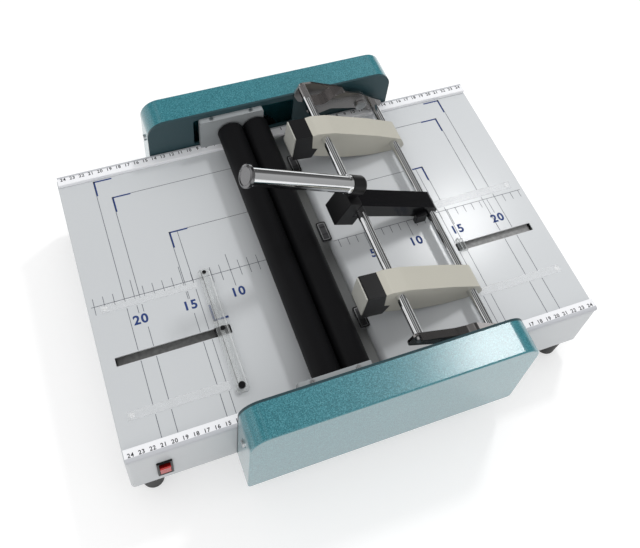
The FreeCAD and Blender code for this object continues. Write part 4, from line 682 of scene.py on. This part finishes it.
# %% Slot rails
RIGHT_RAIL = (140.5, 230.5, -57.5, -36.0, 5.3)
LEFT_RAIL = (-232.0, -120.0, -72.0, -48.0, 13.0)
RAIL_SHEET = 1.0
RAIL_ROUNDING = 0.2
UNDER_TABLE = 2.2
rails = bmesh.new()
for left, right, front, rear, depth in (RIGHT_RAIL, LEFT_RAIL):
    rail_top = table_height - depth
    rail_bottom = rail_top - RAIL_SHEET
    wall_rear = rear + RAIL_SHEET
    wall_top = table_height - UNDER_TABLE
    add_block(rails, (left, front, rail_bottom), (right, rear, rail_top), RAIL_ROUNDING)
    add_block(rails, (left, rear, rail_bottom), (right, wall_rear, wall_top), RAIL_ROUNDING)
finish_piece(rails, "slot_rails", rail_paint)
print("slot rails lie", RIGHT_RAIL[-1], "and", LEFT_RAIL[-1], "mm under the table")

# %% [markdown]
# The clear bar is thicker along its middle: a raised web with a dark line along one side, which is painted
# shade at the web's edge, and a bright line near the bar's right edge, which is a painted highlight. Each
# strip is given by where it starts and ends across the bar, how far it stays from the bar's front end, and
# how high it stands.

# %% Bar web and lines
BAR_STRIPS = [
    ("stop_bar_web", 3.6, 7.4, 7, 0.9, clear_plastic),
    # The dark line is painted shade along the web's edge, and the bright line is a painted highlight.
    ("stop_bar_shade_line", 3.0, 3.6, 7, 0.5, shade_line_plastic),
    ("stop_bar_highlight_line", 10.8, 11.4, 2, 0.3, rivet_and_highlight_plastic),
]
REAR_GAP = 3.0
STRIP_SINK = 0.1
STRIP_ROUNDING = 0.15
bar_low, bar_high = [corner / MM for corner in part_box("left_stop_bar")]
for name, start, end, front_gap, rise, material in BAR_STRIPS:
    strip = bmesh.new()
    add_block(strip, (bar_low.x + start, bar_low.y + front_gap, bar_high.z - STRIP_SINK),
              (bar_low.x + end, bar_high.y - REAR_GAP, bar_high.z + rise), STRIP_ROUNDING)
    finish_piece(strip, name, material, "left_stop")
print("clear bar from", round(bar_low.x, 1), "to", round(bar_high.x, 1), "mm")

# %% [markdown]
# A small black clamp holds the press arm on the lower rod. It swings with the frame.

# %% Arm clamp
clamp = bmesh.new()
clamp_low = (104.0, -12.5, table_height + 8.0)
clamp_high = (117.0, -6.5, table_height + 22.0)
add_block(clamp, clamp_low, clamp_high, 1.0)
finish_piece(clamp, "press_arm_clamp", black_paint, "swing_frame")
print("clamp is", clamp_high[0] - clamp_low[0], "mm long")

# %% [markdown]
# Each anvil insert, where the staple lands, sits in a thin black rim with rounded corners that has a bright
# one inside. A rim is four loops of points, outer and inner, below and above, joined into a frame.

# %% Insert rims
CORNER_STEPS = 4


def rounded_loop(low, high, corner, inset):
    """Points of a rectangle with round corners, all of it drawn in by the inset, in millimetres."""
    centres = ((high[0] - corner, high[1] - corner), (low[0] + corner, high[1] - corner),
               (low[0] + corner, low[1] + corner), (high[0] - corner, low[1] + corner))
    radius = corner - inset
    points = []
    for quarter, (x, y) in enumerate(centres):
        for step in range(CORNER_STEPS + 1):
            angle = math.radians(90 * (quarter + step / CORNER_STEPS))
            points.append((x + radius * math.cos(angle), y + radius * math.sin(angle)))
    return points


def add_rim(mesh, low, high, width, corner, level, thick):
    """Adds a flat rounded frame; low and high are its outer corners in millimetres."""
    loops = []
    for inset, height in ((0, level), (0, level + thick), (width, level + thick), (width, level)):
        points = rounded_loop(low, high, corner, inset)
        loops.append([mesh.verts.new((x * MM, y * MM, height * MM)) for x, y in points])
    for first, second in zip(loops, loops[1:] + loops[:1]):
        join_loops(mesh, first, second)


INSERT_LEFT, INSERT_RIGHT = 3.0, 13.6
INSERT_ROWS = [(-106.0, -82.0), (0.0, 24.0), (94.7, 118.7)]
INSERT_TOP = 100.0
RIM_WIDTH, RIM_CORNER, RIM_THICK = 1.2, 2.4, 0.15
EDGE_RIM_WIDTH, EDGE_RIM_CORNER, EDGE_RIM_THICK = 1.0, 1.4, 0.1
rims = bmesh.new()
edges = bmesh.new()
for front, rear in INSERT_ROWS:
    add_rim(rims, (INSERT_LEFT, front), (INSERT_RIGHT, rear), RIM_WIDTH, RIM_CORNER, INSERT_TOP, RIM_THICK)
    edge_low = (INSERT_LEFT + RIM_WIDTH, front + RIM_WIDTH)
    edge_high = (INSERT_RIGHT - RIM_WIDTH, rear - RIM_WIDTH)
    add_rim(edges, edge_low, edge_high, EDGE_RIM_WIDTH, EDGE_RIM_CORNER, INSERT_TOP, EDGE_RIM_THICK)
finish_piece(rims, "insert_rims", black_plastic)
finish_piece(edges, "insert_edges", bright_steel)
print("insert rims:", len(INSERT_ROWS))

# %% [markdown]
# The machine stands on a white sweep. The floor is part of the studio, not of the machine. It glows a little
# for the camera and in mirrors, so that it shows white and still keeps the soft shadow.

# %% Floor
FLOOR_SIZE = 12.0
FLOOR_GLOW = 0.46
FLOOR_WHITE = (0.62, 0.62, 0.62)


def make_floor():
    """A flat floor; its glow is seen, but lights nothing."""
    mesh = bmesh.new()
    bmesh.ops.create_grid(mesh, x_segments=2, y_segments=2, size=FLOOR_SIZE / 2)
    data = bpy.data.meshes.new("studio_floor")
    mesh.to_mesh(data)
    mesh.free()
    floor = bpy.data.objects.new("studio_floor", data)
    bpy.context.scene.collection.objects.link(floor)
    material, tree, shader = new_finish("floor_white", FLOOR_WHITE, 0.9)
    path = tree.nodes.new("ShaderNodeLightPath")
    seen = tree.nodes.new("ShaderNodeMath")
    seen.operation = "MAXIMUM"
    glow = tree.nodes.new("ShaderNodeMath")
    glow.operation = "MULTIPLY"
    glow.inputs[1].default_value = FLOOR_GLOW
    tree.links.new(path.outputs["Is Camera Ray"], seen.inputs[0])
    tree.links.new(path.outputs["Is Glossy Ray"], seen.inputs[1])
    tree.links.new(seen.outputs["Value"], glow.inputs[0])
    shader.inputs["Emission Color"].default_value = (1, 1, 1, 1)
    tree.links.new(glow.outputs["Value"], shader.inputs["Emission Strength"])
    data.materials.append(material)
    return floor


floor = make_floor()
print("floor is stage:", floor.name)

# %% [markdown]
# The surroundings do three jobs. The camera, and rays that pass through clear plastic, see pure white.
# The light on the machine comes from a softer white. Mirroring surfaces see a dim room with bright and
# dark bands, because chrome only looks like chrome when it has edges to mirror. One set of bands follows
# the direction's X, for the rods, and the other its Y, for the handle; the brighter of the two counts.

# %% Surroundings
WORLD_LIGHT = 0.86
BANDS_ACROSS = [(-1.0, 0.3), (-0.82, 0.95), (-0.70, 0.9), (-0.60, 0.08), (-0.36, 0.06), (-0.30, 0.5),
                (-0.14, 0.5), (-0.04, 0.05), (0.16, 0.1), (0.30, 0.3), (0.50, 0.6), (0.58, 0.1),
                (0.80, 0.08), (1.0, 0.2)]
BANDS_ALONG = [(-1.0, 0.3), (-0.95, 0.9), (-0.80, 1.0), (-0.72, 0.38), (0.1, 0.42), (0.3, 0.0), (0.80, 0.0),
               (0.9, 0.2), (1.0, 0.1)]


def add_bands(tree, value, stops):
    """Bands of light along one part of the direction, which runs from -1 to 1."""
    share = tree.nodes.new("ShaderNodeMapRange")
    share.inputs["From Min"].default_value = -1.0
    bands = tree.nodes.new("ShaderNodeValToRGB")
    ramp = bands.color_ramp
    ramp.elements.remove(ramp.elements[1])
    for number, (place, level) in enumerate(stops):
        stop = ramp.elements[0] if number == 0 else ramp.elements.new((place + 1) / 2)
        stop.position = (place + 1) / 2
        stop.color = (level, level, level, 1)
    tree.links.new(value, share.inputs["Value"])
    tree.links.new(share.outputs["Result"], bands.inputs["Fac"])
    return bands.outputs["Color"]


def make_world():
    """White where it is seen, soft light where it lights, and bands where it is mirrored."""
    world = bpy.data.worlds.new("studio")
    bpy.context.scene.world = world
    world.use_nodes = True
    tree = world.node_tree
    background = tree.nodes["Background"]
    place = tree.nodes.new("ShaderNodeTexCoord")
    parts = tree.nodes.new("ShaderNodeSeparateXYZ")
    path = tree.nodes.new("ShaderNodeLightPath")
    white = tree.nodes.new("ShaderNodeMath")
    white.operation = "MAXIMUM"
    mirrored = tree.nodes.new("ShaderNodeMath")
    mirrored.operation = "MAXIMUM"
    by_gloss = tree.nodes.new("ShaderNodeMix")
    by_gloss.inputs["A"].default_value = WORLD_LIGHT
    by_view = tree.nodes.new("ShaderNodeMix")
    by_view.inputs["B"].default_value = 1.0
    tree.links.new(place.outputs["Generated"], parts.inputs["Vector"])
    tree.links.new(path.outputs["Is Camera Ray"], white.inputs[0])
    tree.links.new(path.outputs["Is Transmission Ray"], white.inputs[1])
    tree.links.new(add_bands(tree, parts.outputs["X"], BANDS_ACROSS), mirrored.inputs[0])
    tree.links.new(add_bands(tree, parts.outputs["Y"], BANDS_ALONG), mirrored.inputs[1])
    tree.links.new(path.outputs["Is Glossy Ray"], by_gloss.inputs["Factor"])
    tree.links.new(mirrored.outputs["Value"], by_gloss.inputs["B"])
    tree.links.new(white.outputs["Value"], by_view.inputs["Factor"])
    tree.links.new(by_gloss.outputs["Result"], by_view.inputs["A"])
    tree.links.new(by_view.outputs["Result"], background.inputs["Strength"])
    background.inputs["Color"].default_value = (1, 1, 1, 1)


make_world()
print("surroundings at", WORLD_LIGHT, "with", len(BANDS_ACROSS) + len(BANDS_ALONG), "band edges")

# %% [markdown]
# One lamp to the right and behind throws the shadows that fall to the left of the rods and the rollers, and a
# weak one in front opens up the dark side of the housings. Nothing mirrors the first lamp, because on bare
# metal it would only show as a burnt-out line.

# %% Lamps
def add_lamp(name, place, aim, size, power):
    """A round lamp of a size in metres and a power in watts, turned to its aim."""
    data = bpy.data.lights.new(name, "AREA")
    data.shape = "DISK"
    data.size = size
    data.energy = power
    lamp = bpy.data.objects.new(name, data)
    bpy.context.scene.collection.objects.link(lamp)
    lamp.location = place
    lamp.rotation_euler = (Vector(aim) - Vector(place)).to_track_quat("-Z", "Y").to_euler()
    return lamp


TABLE_MIDDLE = (0, 0, 0.1)
FRONT_WALL = (0, -0.1, 0.115)
key_lamp = add_lamp("key_lamp", (1.02, 0.75, 2.04), TABLE_MIDDLE, 0.28, 13)
key_lamp.visible_glossy = False
add_lamp("front_lamp", (-0.6, -1.8, 0.715), FRONT_WALL, 1.2, 3)
print("key lamp at", tuple(round(part, 2) for part in key_lamp.location), "m")

# %% [markdown]
# Paint and moulded plastic also show a soft patch of glare. Each patch has a lamp of its own that lights
# nothing and is only mirrored, and light linking keeps it to the parts that it is meant for, so that the
# bare metal beside them stays free of bright spots.

# %% Glare
def add_glare(name, place, size, power, receivers):
    """A lamp that is only mirrored, and only by the parts it is given."""
    lamp = add_lamp(name, place, TABLE_MIDDLE, size, power)
    lamp.visible_diffuse = False
    group = bpy.data.collections.new(name)
    for receiver in receivers:
        group.objects.link(nodes[receiver])
    lamp.light_linking.receiver_collection = group


GLOSSY_PARTS = ["cover_front", "cover_rear", "press_arm", "handle_block", "front_stapler_body",
                "rear_stapler_body"]
add_glare("table_glare", (1.073, 0.936, 1.975), 0.3, 9, ["base_shell"])
add_glare("cover_glare", (1.039, 0.476, 2.155), 0.3, 7, GLOSSY_PARTS)
add_glare("nose_glare", (1.62, 0.70, 1.02), 1.0, 30, ["front_stapler_nose"])

# %% [markdown]
# The camera looks down from the front left, with a slight roll and a small shift, as a hand-held product
# picture has. It is aimed at a point on the table; places are in metres, the lens and the sensor in
# millimetres.

# %% Camera
CAMERA_PLACE = Vector((-0.22861, -0.41821, 0.86100))
CAMERA_AIM = Vector((0.02170, 0.08040, 0.09800))
CAMERA_ROLL = math.radians(7.772)
camera_data = bpy.data.cameras.new("camera")
camera_data.sensor_width = 36
camera_data.lens = 47.445
camera_data.shift_x = 0.0107
camera_data.shift_y = -0.1469
camera_data.clip_start = 0.01
camera = bpy.data.objects.new("camera", camera_data)
bpy.context.scene.collection.objects.link(camera)
camera.location = CAMERA_PLACE
look = (CAMERA_AIM - CAMERA_PLACE).to_track_quat("-Z", "Y").to_matrix()
camera.rotation_euler = (look @ Matrix.Rotation(CAMERA_ROLL, 3, "Z")).to_euler()
bpy.context.scene.camera = camera
bpy.context.scene.view_settings.view_transform = "Standard"
print("camera is", round((CAMERA_AIM - CAMERA_PLACE).length, 2), "m from the table")
